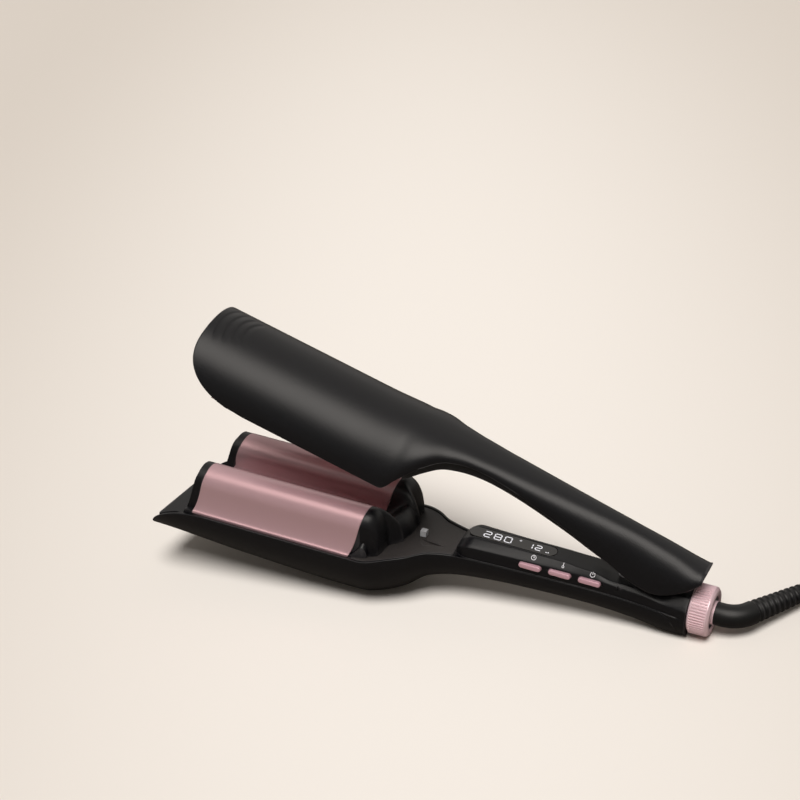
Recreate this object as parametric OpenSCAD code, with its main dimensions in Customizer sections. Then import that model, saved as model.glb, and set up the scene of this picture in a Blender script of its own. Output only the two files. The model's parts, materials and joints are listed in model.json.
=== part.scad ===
// Deep hair waver: two hinged arms with matching wave plates, a control handle
// and a swivel cord. Millimetres.
//
// The pieces are drawn in the axis frame of the lower arm: X runs from the lower
// lip (0) to the rear ring, Y is across, Z is up and 0 lies just under the handle
// seam. on_floor() then lays the lower arm on its two flat feet, which lifts the
// jaws a little. The upper arm is drawn closed and turned open about the hinge.

/* [Jaws] */
// Width of both jaws across the hair
jaw_width = 66; // [60:1:72]
// Length of the lower jaw, from its lip to the corner where the neck begins
jaw_length = 140; // [134:1:146]
// Distance from the lower lip to the wave plates
lip_reach = 34; // [28:1:38]
// Distance from the rear end of the wave plates to the corner where the neck begins
plate_setin = 9; // [7:0.5:12]
// Thickness of the plate metal
plate_thickness = 1.6; // [1.2:0.1:2]
// Distance from the outer side of a lower hump to the side of the jaw
side_margin = 5.4; // [5:0.1:6]
// Radius of a lower hump, as a share of the half width inside that margin
hump_share = 0.348; // [0.33:0.002:0.36]
// Height of the lower crests above the handle datum
crest_height = 21.5; // [19:0.5:23]
// Height of the valley between the lower crests
valley_height = -1.3; // [-2.5:0.1:0]
// Gap left for the hair when the jaws are closed
hair_gap = 1.2; // [0.8:0.1:2]
// Radius of the curl at the plates' outer edges
edge_curl = 3; // [2:0.2:3.6]

/* [Shells] */
// Wall thickness of the jaw and handle shells
shell_wall = 2; // [1.6:0.1:2.4]
// Height of the lower jaw's rim
lower_rim = -4.4; // [-6:0.2:-4]
// Depth of the lower shell below its rim, at the lip
lower_depth_front = 28.5; // [26:0.5:31]
// Depth of the lower shell below its rim, at the rear of the jaw
lower_depth_rear = 35.5; // [33:0.5:38]
// Height of the upper jaw's rim when closed
upper_rim = 9; // [8:0.2:10]
// Height of the upper dome above its rim
upper_dome = 29.6; // [27:0.2:32]
// How far the upper jaw's front lies behind the lower lip
upper_setback = 21; // [16:1:24]
// Length of the rounded front corner of each rim
corner_length = 40; // [30:1:44]
// Height of the rounded front corner of each rim
corner_height = 26; // [20:1:28]
// Depth of the two flat feet cut into the bottom of the lower shell
foot_cut = 0.8; // [0.5:0.1:1.2]

/* [Handle] */
// Length of the handle, from the jaw's rear corner to the end of the shell
handle_length = 174; // [166:1:182]
// Half width of the handle at its slimmest place
waist_half = 9.8; // [9.4:0.2:11]
// Height of the seam between the lower shell and the control cover
seam_height = 2; // [1:0.2:3]
// Height of the display facet
facet_height = 12.5; // [11.5:0.5:14]
// Half width of the display facet
facet_half = 5.8; // [5:0.1:6.4]
// Half width of the upper handle
grip_half = 12.2; // [11.8:0.2:13]
// Height of the upper handle's ridge when closed
grip_top = 39.5; // [37:0.5:42]

/* [Hinge] */
// Distance from the hinge pin to the end of the shell
hinge_inset = 22; // [20:0.5:24]
// Height of the hinge pin
hinge_z = 16; // [15:0.5:17]
// Radius of the hinge pin
pin_radius = 2; // [1.5:0.1:2.5]
// Radius of the knuckle on the lower arm
knuckle_radius = 6.5; // [5.5:0.5:7]
// Half width of the knuckle
knuckle_half = 8.6; // [7.6:0.2:9]
// Angle between the arms at rest
opening_angle = 15; // [12:0.5:17]
// Distance from the hinge to the arm spring
spring_reach = 15; // [14:1:18]
// Outer diameter of the arm spring
spring_diameter = 8; // [7:0.5:9]
// Wire thickness of the arm spring
spring_wire = 1.1; // [0.9:0.1:1.3]
// Turns of the arm spring
spring_turns = 6; // [4:1:7]

/* [Controls] */
// Distance from the end of the display facet to the lens
lens_margin = 9; // [7:0.5:14]
// Width of the display lens
lens_width = 8.6; // [7.4:0.2:9]
// Thickness of the display lens
lens_thickness = 1; // [0.8:0.1:1.4]
// Length of each button
button_length = 12.4; // [10:0.2:13]
// Height of each button
button_height = 3.8; // [3:0.2:4.2]
// Distance from one button to the next
button_pitch = 16.6; // [15.6:0.2:18]
// How far a button stands out of the cover
button_proud = 0.8; // [0.7:0.1:1]
// How far a button travels
button_travel = 0.6; // [0.3:0.1:0.6]
// Gap around a button
button_gap = 0.25; // [0.2:0.05:0.35]

/* [Ring and cord] */
// Outer radius of the knurled ring
ring_radius = 13.5; // [13:0.1:13.8]
// Length of the knurled ring
ring_length = 11.5; // [9:0.5:13]
// Number of flutes on the ring
ring_flutes = 54; // [36:2:60]
// Height of the ring's axis
ring_axis = 2.2; // [2:0.1:2.8]
// Radius of the socket that the ring turns on
socket_radius = 9; // [8.6:0.1:9.6]
// Radius of the swivel inside the socket
swivel_radius = 6.4; // [6:0.1:6.8]
// Diameter of the mains cord
cord_diameter = 6.4; // [5.6:0.2:7]
// Radius of the cord boot
boot_radius = 6.2; // [5.8:0.1:6.4]

/* [Clearances] */
// Gap between nested pieces of one arm
fit = 0.2; // [0.15:0.05:0.3]
// Radial running clearance of the pin, the ring and the swivel
running = 0.05; // [0.03:0.01:0.08]
// Gap between pieces of different bodies
play = 0.4; // [0.3:0.05:0.5]

/* [Hidden] */

// Colours
satin_black = [0.11, 0.11, 0.12];
dark_grey = [0.20, 0.19, 0.18];
rose_gold = [0.78, 0.56, 0.56];
soft_pink = [0.87, 0.70, 0.71];
glass_black = [0.05, 0.05, 0.06];
steel = [0.70, 0.70, 0.72];
ceramic = [0.85, 0.84, 0.80];
board_green = [0.10, 0.30, 0.20];
cord_black = [0.06, 0.06, 0.06];
pale_grey = [0.75, 0.75, 0.74];

// Half of the jaw, and the stations that the plates and caps share
jaw_half = jaw_width / 2;
plate_front = lip_reach;
plate_rear = jaw_length - plate_setin;
plate_length = plate_rear - plate_front;
upper_lip = 20;
upper_plate_front = upper_setback + upper_lip;
upper_plate_length = plate_rear - upper_plate_front;
cap_band = 4;
cap_fit = 0.1;
arc_steps = 20;

// Functions ------------------------------------------------------------------

function reverse(list) = [for (i = [len(list) - 1 : -1 : 0]) list[i]];
function mix(a, b, t) = a + (b - a) * t;
function clamp01(t) = min(1, max(0, t));
function ease(t) = let (c = clamp01(t)) c * c * (3 - 2 * c);

// A smooth curve through a short list of [x, value] points, that never overshoots
function chord(table, i) = (table[i + 1][1] - table[i][1]) / (table[i + 1][0] - table[i][0]);
function lean(table, i) =
    i == 0 || i == len(table) - 1 ? 0
    : let (a = chord(table, i - 1), b = chord(table, i)) a * b <= 0 ? 0 : 2 * a * b / (a + b);
function span_at(table, x, i = 0) =
    i >= len(table) - 2 || x < table[i + 1][0] ? i : span_at(table, x, i + 1);
function smooth(table, x_raw) =
    let (x = min(max(x_raw, table[0][0]), table[len(table) - 1][0]),
         i = span_at(table, x),
         w = table[i + 1][0] - table[i][0],
         t = (x - table[i][0]) / w,
         a = table[i][1], b = table[i + 1][1],
         da = lean(table, i) * w, db = lean(table, i + 1) * w)
    a + da * t + (3 * (b - a) - 2 * da - db) * t * t + (2 * (a - b) + da + db) * t * t * t;

// Places along the lower arm
neck_length = 30;
waist_reach = 27;
arm_length = jaw_length + handle_length;
neck_x = jaw_length + neck_length;
hinge_x = arm_length - hinge_inset;
waist_x = hinge_x - waist_reach;

// Outline of the lower arm: half width, rim height and bottom height along X
lower_width_line = [[0, jaw_half], [jaw_length - 4, jaw_half], [jaw_length + 10, jaw_half - 3.5],
                    [jaw_length + 19, 25.5], [neck_x, 17.5], [neck_x + 17, 13],
                    [neck_x + 40, 11.6], [waist_x, waist_half], [waist_x + 20, waist_half + 0.8],
                    [arm_length - 10, 12.6], [arm_length, 13]];
lower_rim_line = [[0, lower_rim], [jaw_length - 6, lower_rim], [jaw_length + 16, 0],
                  [neck_x + 4, seam_height], [arm_length, seam_height]];
lower_bottom_line = [[0, lower_rim - lower_depth_front],
                     [plate_front + 24, lower_rim - mix(lower_depth_front, lower_depth_rear, 0.62)],
                     [jaw_length - 20, lower_rim - lower_depth_rear],
                     [jaw_length - 8, lower_rim - lower_depth_rear + 0.2],
                     [jaw_length + 4, lower_rim - lower_depth_rear + 3.4],
                     [jaw_length + 15, -31], [jaw_length + 27, -22], [jaw_length + 46, -17],
                     [jaw_length + 78, -13.6], [waist_x - 6, -12.4], [waist_x + 18, -13.4],
                     [arm_length - 9, -15.4], [arm_length, -15.2]];
function lower_width(x) = smooth(lower_width_line, x);
function lower_rim_at(x) = smooth(lower_rim_line, x);
function lower_bottom(x) = smooth(lower_bottom_line, x);

// Outline of the upper arm, drawn closed: half width, shell edge, liner edge and ridge
dome_rear = jaw_length + 5;
upper_width_line = [[0, jaw_half], [dome_rear - 2, jaw_half - 0.3], [dome_rear + 7, jaw_half - 3.6],
                    [dome_rear + 15, 24], [dome_rear + 25, 17], [dome_rear + 38, 13.4],
                    [dome_rear + 55, grip_half], [hinge_x - 20, grip_half], [hinge_x, grip_half + 1],
                    [hinge_x + 12, grip_half + 0.8], [arm_length + 2, grip_half]];
upper_edge_line = [[0, upper_rim], [dome_rear, upper_rim], [dome_rear + 7, upper_rim + 8],
                   [dome_rear + 16, upper_rim + 17], [dome_rear + 28, upper_rim + 23],
                   [dome_rear + 42, upper_rim + 24.5], [dome_rear + 60, upper_rim + 23],
                   [hinge_x - 52, 25.5], [hinge_x - 26, 18.5], [hinge_x - 4, 13.6],
                   [hinge_x + 4, 14], [hinge_x + 13, 18.6], [arm_length + 1, 28.5],
                   [arm_length + 2.5, 31]];
upper_top_line = [[0, upper_rim + upper_dome], [dome_rear - 25, upper_rim + upper_dome],
                  [dome_rear + 5, grip_top + 0.5], [dome_rear + 60, grip_top],
                  [hinge_x - 26, grip_top - 0.6], [hinge_x + 4, grip_top - 2],
                  [arm_length + 2.5, grip_top - 4]];
liner_drop_line = [[0, 0], [dome_rear + 2, 0.4], [dome_rear + 14, 5], [dome_rear + 32, 6],
                   [dome_rear + 60, 4.4], [hinge_x - 40, 2.6], [hinge_x - 8, 1],
                   [arm_length + 2.5, 0.6]];
function upper_width(x) = smooth(upper_width_line, x);
function upper_edge(x) = smooth(upper_edge_line, x);
function upper_top(x) = smooth(upper_top_line, x);
function liner_edge(x) = upper_edge(x) - smooth(liner_drop_line, x);
// 2 is an ellipse, as on the dome; the grip is a little squarer
function upper_power(x) = mix(2, 2.4, ease((x - dome_rear) / 40));

// The wave that both plates follow. grow moves the surface along its normal,
// up out of the lower plate when it is positive.
hump_reach = jaw_half - side_margin;
hump_radius = hump_share * hump_reach;
hump_y = hump_reach - hump_radius;
hump_z = crest_height - hump_radius;
valley_radius = hump_y - hump_radius;
valley_z = valley_height + valley_radius;
foot_y = hump_y + hump_radius + edge_curl;
foot_z = lower_rim + 0.8;
wave_steps = 8;
function arc_points(cy, cz, r, from, to) =
    [for (i = [0 : wave_steps]) let (a = from + (to - from) * i / wave_steps)
        [cy + r * cos(a), cz + r * sin(a)]];
function half_wave(grow) = concat(
    arc_points(0, valley_z, valley_radius - grow, -90, 0),
    arc_points(hump_y, hump_z, hump_radius + grow, 180, 0));
function lower_half(grow) = concat(half_wave(grow),
    arc_points(foot_y, foot_z + edge_curl, edge_curl - grow, 180, 270));
// The upper plate ends straight down at the upper rim
function upper_half(grow) = concat(half_wave(grow),
    [[hump_y + hump_radius + grow, upper_rim + 0.4]]);
function mirror_y(list) = [for (p = list) [-p[0], p[1]]];
function full_wave(half) = concat(reverse(mirror_y(half)), [for (i = [1 : len(half) - 1]) half[i]]);

// Height of the wave at a distance y from the middle
function wave_at(y_raw, grow) =
    let (y = abs(y_raw), rv = valley_radius - grow, rh = hump_radius + grow,
         t = min(1, abs(y - hump_y) / rh))
    y < rv ? valley_z - sqrt(max(0, rv * rv - y * y))
    : y < hump_y + rh ? hump_z + rh * sqrt(1 - t * t)
    : foot_z + 0.1;

// Front edge of a shell: the rim's corner is rounded in the side view
function corner_x(drop) =
    let (q = 1 - clamp01(drop / corner_height)) corner_length * (1 - sqrt(1 - q * q));
skew_end = corner_length + 20;
function skewed(x, start, drop) =
    let (front = start + corner_x(drop), end = start + skew_end)
    x >= end ? x : mix(front, end, (x - start) / skew_end);

// How the arm lies on the floor
jaw_foot_x = jaw_length - 10;
rear_foot_x = arm_length - 9;
tilt = atan((lower_bottom(rear_foot_x) - lower_bottom(jaw_foot_x)) / (rear_foot_x - jaw_foot_x));
foot_z_level = lower_bottom(jaw_foot_x) + foot_cut;
function floor_point(p) =
    let (x = p[0] - jaw_foot_x, z = p[2] - foot_z_level)
    [x * cos(tilt) + z * sin(tilt), p[1], z * cos(tilt) - x * sin(tilt)];

// Modules --------------------------------------------------------------------

// A solid between two curves that run side by side, one pair of curves a station.
// Each station is [outer curve, inner curve], both with the same number of points.
module band(stations) {
    n = len(stations[0][0]);
    ring = 2 * n;
    last = (len(stations) - 1) * ring;
    points = [for (s = stations) each concat(s[0], reverse(s[1]))];
    sides = [for (j = [0 : len(stations) - 2], k = [0 : ring - 1])
        let (a = j * ring + k, b = j * ring + (k + 1) % ring)
        each [[a, a + ring, b], [b, a + ring, b + ring]]];
    front = [for (k = [0 : n - 2])
        each [[k, k + 1, ring - 1 - k], [k + 1, ring - 2 - k, ring - 1 - k]]];
    rear = [for (f = front) [f[2] + last, f[1] + last, f[0] + last]];
    faces = concat(sides, front, rear);
    clockwise = turning([for (i = [0 : ring - 1]) points[last + i]]) < 0;
    polyhedron(points = points, faces = clockwise ? [for (f = faces) reverse(f)] : faces, convexity = 6);
}
// Twice the area of a loop of points seen along X, negative when it runs clockwise
function turning(loop) =
    let (n = len(loop),
         parts = [for (i = [0 : n - 1])
             let (p = loop[i], q = loop[(i + 1) % n]) p[1] * q[2] - q[1] * p[2]])
    parts * [for (p = parts) 1];
// A curve pressed almost flat on a level, which closes the end of a hollow loft
function pressed(curve, level) = [for (p = curve) [p[0], p[1], level + (p[2] - level) * 0.02]];

// A tube swept along points that lie almost level. radii gives one radius a point.
module swept_tube(points, radii, sides) {
    n = len(points);
    function heading(i) =
        let (d = points[min(n - 1, i + 1)] - points[max(0, i - 1)]) d / norm(d);
    rings = [for (i = [0 : n - 1])
        let (t = heading(i), side = cross(t, [0, 0, 1]) / norm(cross(t, [0, 0, 1])),
             up = cross(side, t))
        [for (k = [0 : sides - 1]) let (a = 360 * (k + 0.5) / sides)
            points[i] + radii[i] * (cos(a) * side + sin(a) * up)]];
    sweep_rings(rings, sides);
}
module sweep_rings(rings, sides) {
    last = (len(rings) - 1) * sides;
    faces = [for (j = [0 : len(rings) - 2], k = [0 : sides - 1])
        let (a = j * sides + k, b = j * sides + (k + 1) % sides)
        each [[a, b, a + sides], [b, b + sides, a + sides]]];
    start = [[for (k = [sides - 1 : -1 : 0]) k]];
    end = [[for (k = [0 : sides - 1]) last + k]];
    polyhedron(points = [for (r = rings) each r], faces = concat(faces, start, end), convexity = 8);
}

// Lays a piece of the lower arm on the floor, and opens a piece of the upper arm
module on_floor() {
    rotate([0, tilt, 0]) translate([-jaw_foot_x, 0, -foot_z_level]) children();
}
module opened() {
    on_floor() translate([hinge_x, 0, hinge_z]) rotate([0, opening_angle, 0])
        translate([-hinge_x, 0, -hinge_z]) children();
}

// Extrudes a Y-Z outline along X from one station to another
module along_x(from, to) {
    translate([from, 0, 0]) rotate([90, 0, 90]) linear_extrude(to - from) children();
}
// Extrudes an X-Z outline across, from one side to the other
module across_y(from, to) {
    translate([0, to, 0]) rotate([90, 0, 0]) linear_extrude(to - from) children();
}
// A round rod along Y
module rod_y(x, z, radius, half) {
    translate([x, half, z]) rotate([90, 0, 0]) cylinder(r = radius, h = 2 * half, $fn = 48);
}
// A round rod along X on the ring's axis
module rod_x(from, to, radius) {
    translate([from, 0, ring_axis]) rotate([0, 90, 0]) cylinder(r = radius, h = to - from, $fn = 64);
}
// A pill outline, longer in X
module pill(length, width) {
    square([length - width, width], center = true);
    for (side = [-1, 1]) translate([side * (length - width) / 2, 0]) circle(d = width, $fn = 40);
}

// Lower shell: a deep bowl under the jaw that runs on as the handle's lower half
function lower_arc(x, inset) =
    let (hw = lower_width(x) - inset, rim = lower_rim_at(x), depth = rim - lower_bottom(x) - inset)
    [for (k = [0 : arc_steps]) let (a = 180 * k / arc_steps, drop = depth * sin(a))
        [skewed(x, 0, drop), hw * cos(a), rim - drop]];
lower_stations = concat(
    [for (t = [0, 0.15, 0.33, 0.57, 0.8]) t * skew_end],
    [for (t = [0, 0.33, 0.63, 0.84, 1]) mix(skew_end, jaw_length - 4, t)],
    [for (d = [3, 9, 15, 21, 27, 35, 46]) jaw_length + d],
    [for (t = [0, 0.16, 0.34, 0.52, 0.7, 0.87, 1]) mix(neck_x + 30, arm_length - 12, t)]);
end_wall_x = arm_length - 2.6;
module lower_shell() {
    color(satin_black) difference() {
        on_floor() difference() {
            band(concat(
                [for (x = lower_stations) [lower_arc(x, 0), lower_arc(x, shell_wall)]],
                [[lower_arc(end_wall_x - 0.2, 0), lower_arc(end_wall_x - 0.2, shell_wall)]],
                [for (x = [end_wall_x, arm_length])
                    [lower_arc(x, 0), pressed(lower_arc(x, shell_wall), seam_height)]]));
            rod_x(end_wall_x - 2, arm_length + 1, socket_radius + fit);
            for (x = screw_places) screw_hole(x);
        }
        translate([-arm_length, -jaw_width, -jaw_width]) cube([2 * arm_length, 2 * jaw_width, jaw_width]);
    }
}

// Screws that hold the control cover down, put in from below
screw_places = [neck_x + 18, hinge_x - 16];
screw_head = 2.6;
screw_shank = 1.3;
screw_seat = 1;
screw_head_height = 0.8;
screw_bite = 4;
cross_width = 0.6;
module screw_hole(x) {
    translate([x, 0, lower_bottom(x) - 1])
        cylinder(r = screw_shank + fit, h = 3 * shell_wall, $fn = 32);
    translate([x, 0, lower_bottom(x) - 2])
        cylinder(r = screw_head + fit, h = 2 + screw_seat, $fn = 32);
}
module handle_screws() {
    color(steel) on_floor() for (x = screw_places)
        difference() {
            union() {
                translate([x, 0, screw_bottom(x)])
                    cylinder(r = screw_head, h = screw_head_height, $fn = 32);
                translate([x, 0, screw_bottom(x)])
                    cylinder(r = screw_shank, h = post_bottom(x) + screw_bite - screw_bottom(x), $fn = 32);
            }
            for (turn = [0, 90]) translate([x, 0, screw_bottom(x)]) rotate(turn)
                cube([2 * screw_shank, cross_width, screw_head_height], center = true);
        }
}
function screw_bottom(x) = lower_bottom(x) + screw_seat - screw_head_height;
function post_bottom(x) = lower_bottom(x) + shell_wall + fit;

// Lower carrier: the heat-proof slab under the lower plate, with a rib in each hump
carrier_top = foot_z - plate_thickness - cap_fit;
carrier_thickness = 4;
rib_inset = 4;
heater_inset = 8;
heater_half = 4.6;
heater_height = 4;
function heater_top(half, radius, z) = z + sqrt(pow(radius - plate_thickness, 2) - half * half) - fit;
lower_heater_top = heater_top(heater_half, hump_radius, hump_z);
function bowl_half(z) =
    let (half = jaw_half - shell_wall - fit, depth = lower_depth_front - shell_wall - fit)
    half * sqrt(1 - pow((lower_rim - z) / depth, 2));
module lower_carrier() {
    top_half = bowl_half(carrier_top);
    low_half = bowl_half(carrier_top - carrier_thickness);
    color(dark_grey) on_floor() union() {
        along_x(plate_front, plate_rear)
            polygon([[-top_half, carrier_top], [-low_half, carrier_top - carrier_thickness],
                     [low_half, carrier_top - carrier_thickness], [top_half, carrier_top]]);
        for (side = [-1, 1])
            translate([plate_front + rib_inset, side * hump_y - heater_half, carrier_top - 1])
                cube([plate_length - 2 * rib_inset, 2 * heater_half,
                      lower_heater_top - heater_height - carrier_top + 1]);
    }
}

// Wave plates
module lower_plate() {
    color(rose_gold) on_floor() along_x(plate_front, plate_rear)
        polygon(concat(full_wave(lower_half(0)), reverse(full_wave(lower_half(-plate_thickness)))));
}
module upper_plate() {
    color(rose_gold) opened() along_x(upper_plate_front, plate_rear)
        polygon(concat(full_wave(upper_half(hair_gap)),
                       reverse(full_wave(upper_half(hair_gap + plate_thickness)))));
}

// Heaters: ceramic bars clamped against the inside of the crests
module lower_heaters() {
    color(ceramic) on_floor() for (side = [-1, 1])
        translate([plate_front + heater_inset, side * hump_y - heater_half,
                   lower_heater_top - heater_height])
            cube([plate_length - 2 * heater_inset, 2 * heater_half, heater_height]);
}
upper_heater_half = 3;
upper_inner = valley_radius - hair_gap - plate_thickness;
upper_heater_bottom =
    valley_z - sqrt(upper_inner * upper_inner - upper_heater_half * upper_heater_half) + fit;
module upper_heater() {
    color(ceramic) opened()
        translate([upper_plate_front + heater_inset, -upper_heater_half, upper_heater_bottom])
            cube([upper_plate_length - 2 * heater_inset, 2 * upper_heater_half, heater_height]);
}

// Upper carrier: fills the dome above the upper plate
upper_carrier_bottom = crest_height + hair_gap + plate_thickness + cap_fit;
function dome_arc(inset, from_z) =
    let (hw = jaw_half - 0.3 - inset, h = upper_dome - inset, cut = asin((from_z - upper_rim) / h))
    [for (k = [0 : arc_steps]) let (a = cut + (180 - 2 * cut) * k / arc_steps)
        [hw * cos(a), upper_rim + h * sin(a)]];
module upper_carrier() {
    color(dark_grey) opened() union() {
        along_x(upper_plate_front, plate_rear) polygon(dome_arc(shell_wall + fit, upper_carrier_bottom));
        translate([upper_plate_front + rib_inset, -upper_heater_half, upper_heater_bottom + heater_height])
            cube([upper_plate_length - 2 * rib_inset, 2 * upper_heater_half,
                  upper_carrier_bottom + 1 - upper_heater_bottom - heater_height]);
    }
}

// End caps. Each is a loft between the inside of its shell and a surface that starts
// as the wave at the plate's end and sweeps away to the lip or to the neck.
cap_steps = 28;
cap_margin = 0.2;
function lower_inside(x, y) =
    let (hw = lower_width(x) - shell_wall - fit, rim = lower_rim_at(x),
         depth = rim - lower_bottom(x) - shell_wall - fit)
    rim - depth * sqrt(max(0, 1 - pow(y / hw, 2)));
function upper_inside(x, y) =
    let (hw = upper_width(x) - shell_wall - fit, low = upper_edge(x), p = upper_power(x),
         rise = upper_top(x) - shell_wall - fit - low)
    low + rise * pow(max(0, 1 - pow(abs(y) / hw, p)), 1 / p);
function cap_y(half, k) = (half - cap_margin) * sin(90 * (1 - 2 * k / cap_steps));

scoop_start = 3;
front_cap_end = plate_front - cap_fit;
function front_flare(x) = pow(clamp01((x - scoop_start) / (plate_front - cap_band - scoop_start)), 3.2);
function lower_front_station(x) =
    let (half = jaw_half - shell_wall - fit,
         ys = [for (k = [0 : cap_steps]) cap_y(half, k)],
         lows = [for (y = ys) lower_inside(x, y)],
         xs = [for (low = lows) skewed(x, 0, lower_rim - low)])
    [[for (k = [0 : cap_steps]) [xs[k], ys[k], lows[k]]],
     [for (k = [0 : cap_steps]) [xs[k], ys[k],
        max(lows[k] + 0.8, mix(lows[k] + 1.2, wave_at(ys[k], -cap_fit), front_flare(x)))]]];
module lower_front_cap() {
    color(satin_black) on_floor() difference() {
        band([for (t = [0, 0.17, 0.34, 0.49, 0.6, 0.69, 0.77, 1])
            lower_front_station(mix(scoop_start, plate_front + cap_band, t))]);
        translate([front_cap_end, -jaw_half, -jaw_width]) cube([jaw_width, jaw_width, 2 * jaw_width]);
    }
}

// The rear cap is one rounded body behind both humps, longest in the middle
cap_reach_side = 14;
cap_reach_middle = 26;
barrel_top = 15;
barrel_half = 15;
function cap_reach(y) =
    cap_reach_side + (cap_reach_middle - cap_reach_side) * max(0, 1 - pow(y / barrel_half, 2));
function barrel(y) = barrel_top * (1 - pow(abs(y) / jaw_half, 3));
function rear_cap_top(y, s) =
    let (wave = wave_at(y, -cap_fit), body = mix(wave, max(wave, barrel(y)), ease(s * 1.2)))
    mix(neck_level(plate_rear), body, pow(1 - pow(s, 2.6), 1 / 2.6));
rear_cap_half = foot_y - 0.4;
function rear_cap_station(s) =
    let (ys = [for (k = [0 : cap_steps]) cap_y(rear_cap_half, k)],
         xs = [for (y = ys) plate_rear + cap_fit + s * cap_reach(y)])
    [[for (k = [0 : cap_steps]) [xs[k], ys[k] * (1 - 0.08 * s), neck_level(xs[k]) + fit]],
     [for (k = [0 : cap_steps]) [xs[k], ys[k] * (1 - 0.08 * s),
        max(neck_level(xs[k]) + 0.8, rear_cap_top(ys[k], s))]]];
module lower_rear_cap() {
    color(satin_black) on_floor()
        band([for (s = [0, 0.2, 0.4, 0.6, 0.76, 0.88, 0.95, 0.99]) rear_cap_station(s)]);
}

// Upper caps: bands of the dome's inside, cut to the wave on the plate side
upper_front_margin = 4;
function dome_flare(x) =
    pow(clamp01((x - upper_setback - upper_front_margin) / (upper_plate_front - upper_setback - 9)), 2.4);
function upper_front_station(x) =
    let (half = jaw_half - shell_wall - fit,
         ys = [for (k = [0 : cap_steps]) cap_y(half, k)],
         highs = [for (y = ys) upper_inside(x, y)],
         xs = [for (high = highs) skewed(x, upper_setback, high - upper_rim)])
    [[for (k = [0 : cap_steps]) [xs[k], ys[k], min(highs[k] - 0.8,
        mix(highs[k] - 1.2, max(wave_at(ys[k], hair_gap), upper_rim + 0.4), dome_flare(x)))]],
     [for (k = [0 : cap_steps]) [xs[k], ys[k], highs[k]]]];
module upper_front_cap() {
    color(satin_black) opened() difference() {
        band([for (t = [0, 0.1, 0.2, 0.3, 0.4, 0.53, 0.73, 1])
            upper_front_station(mix(upper_setback + upper_front_margin, upper_plate_front + 14, t))]);
        translate([upper_plate_front - cap_fit, -jaw_half, -jaw_width])
            cube([jaw_width, jaw_width, 2 * jaw_width]);
    }
}
upper_cap_end = dome_rear + 8;
function upper_rear_station(x) =
    let (half = upper_width(x) - shell_wall - fit,
         t = ease((x - plate_rear) / (upper_cap_end - plate_rear)),
         ys = [for (k = [0 : cap_steps]) cap_y(half, k)],
         highs = [for (y = ys) upper_inside(x, y)])
    [[for (k = [0 : cap_steps]) [x, ys[k], min(highs[k] - 0.8,
        mix(max(wave_at(ys[k], hair_gap), upper_rim + 0.4), upper_edge(x) + 7, t))]],
     [for (k = [0 : cap_steps]) [x, ys[k], highs[k]]]];
module upper_rear_cap() {
    color(satin_black) opened()
        band([for (t = [0.005, 0.2, 0.4, 0.6, 0.8, 1])
            upper_rear_station(mix(plate_rear, upper_cap_end, t))]);
}

// Neck cover: the plate over the shell between the jaw and the controls
neck_thickness = 1.8;
neck_recess = 0.4;
neck_end = neck_x + 14;
neck_stations = concat([plate_rear + cap_fit], [for (d = [-2, 3, 8, 13, 18, 23, 29, 36]) jaw_length + d],
                       [neck_end]);
function neck_level(x) = lower_rim_at(x) - neck_recess;
function neck_station(x) =
    let (half = lower_width(x) - shell_wall - fit - cap_margin)
    [[for (side = [1, 0.5, 0, -0.5, -1]) [x, side * half, neck_level(x)]],
     [for (side = [1, 0.5, 0, -0.5, -1]) [x, side * (half - 0.1), neck_level(x) - neck_thickness]]];
clip_x = neck_x - 9;
clip_size = 3.4;
clip_height = 6.4;
module neck_cover() {
    color(dark_grey) on_floor() difference() {
        band([for (x = neck_stations) neck_station(x)]);
        clip_block(clip_size + 0.3);
    }
}
// A small sprung tab that holds the rear cap down
module clip_block(size) {
    translate([clip_x, 0, neck_level(clip_x)]) cube([size, size, clip_height], center = true);
}
module rear_cap_clip() {
    color(pale_grey) on_floor() clip_block(clip_size);
}

// Control cover: the top of the lower handle, with the display facet and the knuckle
nose_x = neck_x + 13;
nose_length = 10;
facet_end = hinge_x - 45;
deck_height = 9.6;
tail_height = 12.6;
cover_top_line = [[nose_x, facet_height - 0.6], [nose_x + 12, facet_height], [facet_end - 4, facet_height],
                  [facet_end + 5, deck_height + 0.4], [facet_end + 12, deck_height],
                  [hinge_x + 6, deck_height], [hinge_x + 14, tail_height - 0.6],
                  [arm_length, tail_height]];
cover_flat_line = [[nose_x, facet_half], [facet_end - 4, facet_half], [facet_end + 8, 7.4],
                   [hinge_x, 7.4], [hinge_x + 14, 7], [arm_length, 7]];
cover_wall_line = [[nose_x, 8.8], [facet_end - 4, 8.8], [facet_end + 8, 8.4], [hinge_x, 7.6],
                   [hinge_x + 14, 6.6], [arm_length, 6.5]];
function nose_factor(x) = let (s = 1 - clamp01((x - nose_x) / nose_length)) sqrt(1 - s * s);
function cover_top(x) = seam_height + (smooth(cover_top_line, x) - seam_height) * nose_factor(x);
function cover_profile(x, inset) =
    let (f = max(0.03, nose_factor(x)),
         half = lower_width(x) * mix(0.5, 1, f) - inset,
         flat = min(half - 0.6, smooth(cover_flat_line, x) * mix(0.5, 1, f) - inset / 2),
         top = seam_height + (smooth(cover_top_line, x) - inset - seam_height) * f,
         wall = min(top - 0.02, seam_height + (smooth(cover_wall_line, x) - inset / 2 - seam_height) * f),
         side = [[half, seam_height], [half - 0.1, wall - 0.6 * f], [half - 0.5, mix(wall, top, 0.12)],
                 [mix(half, flat, 0.88), mix(wall, top, 0.93)], [flat, top]])
    [for (p = concat(side, reverse(mirror_y(side)))) [x, p[0], p[1]]];
cover_wall = 2;
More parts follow.
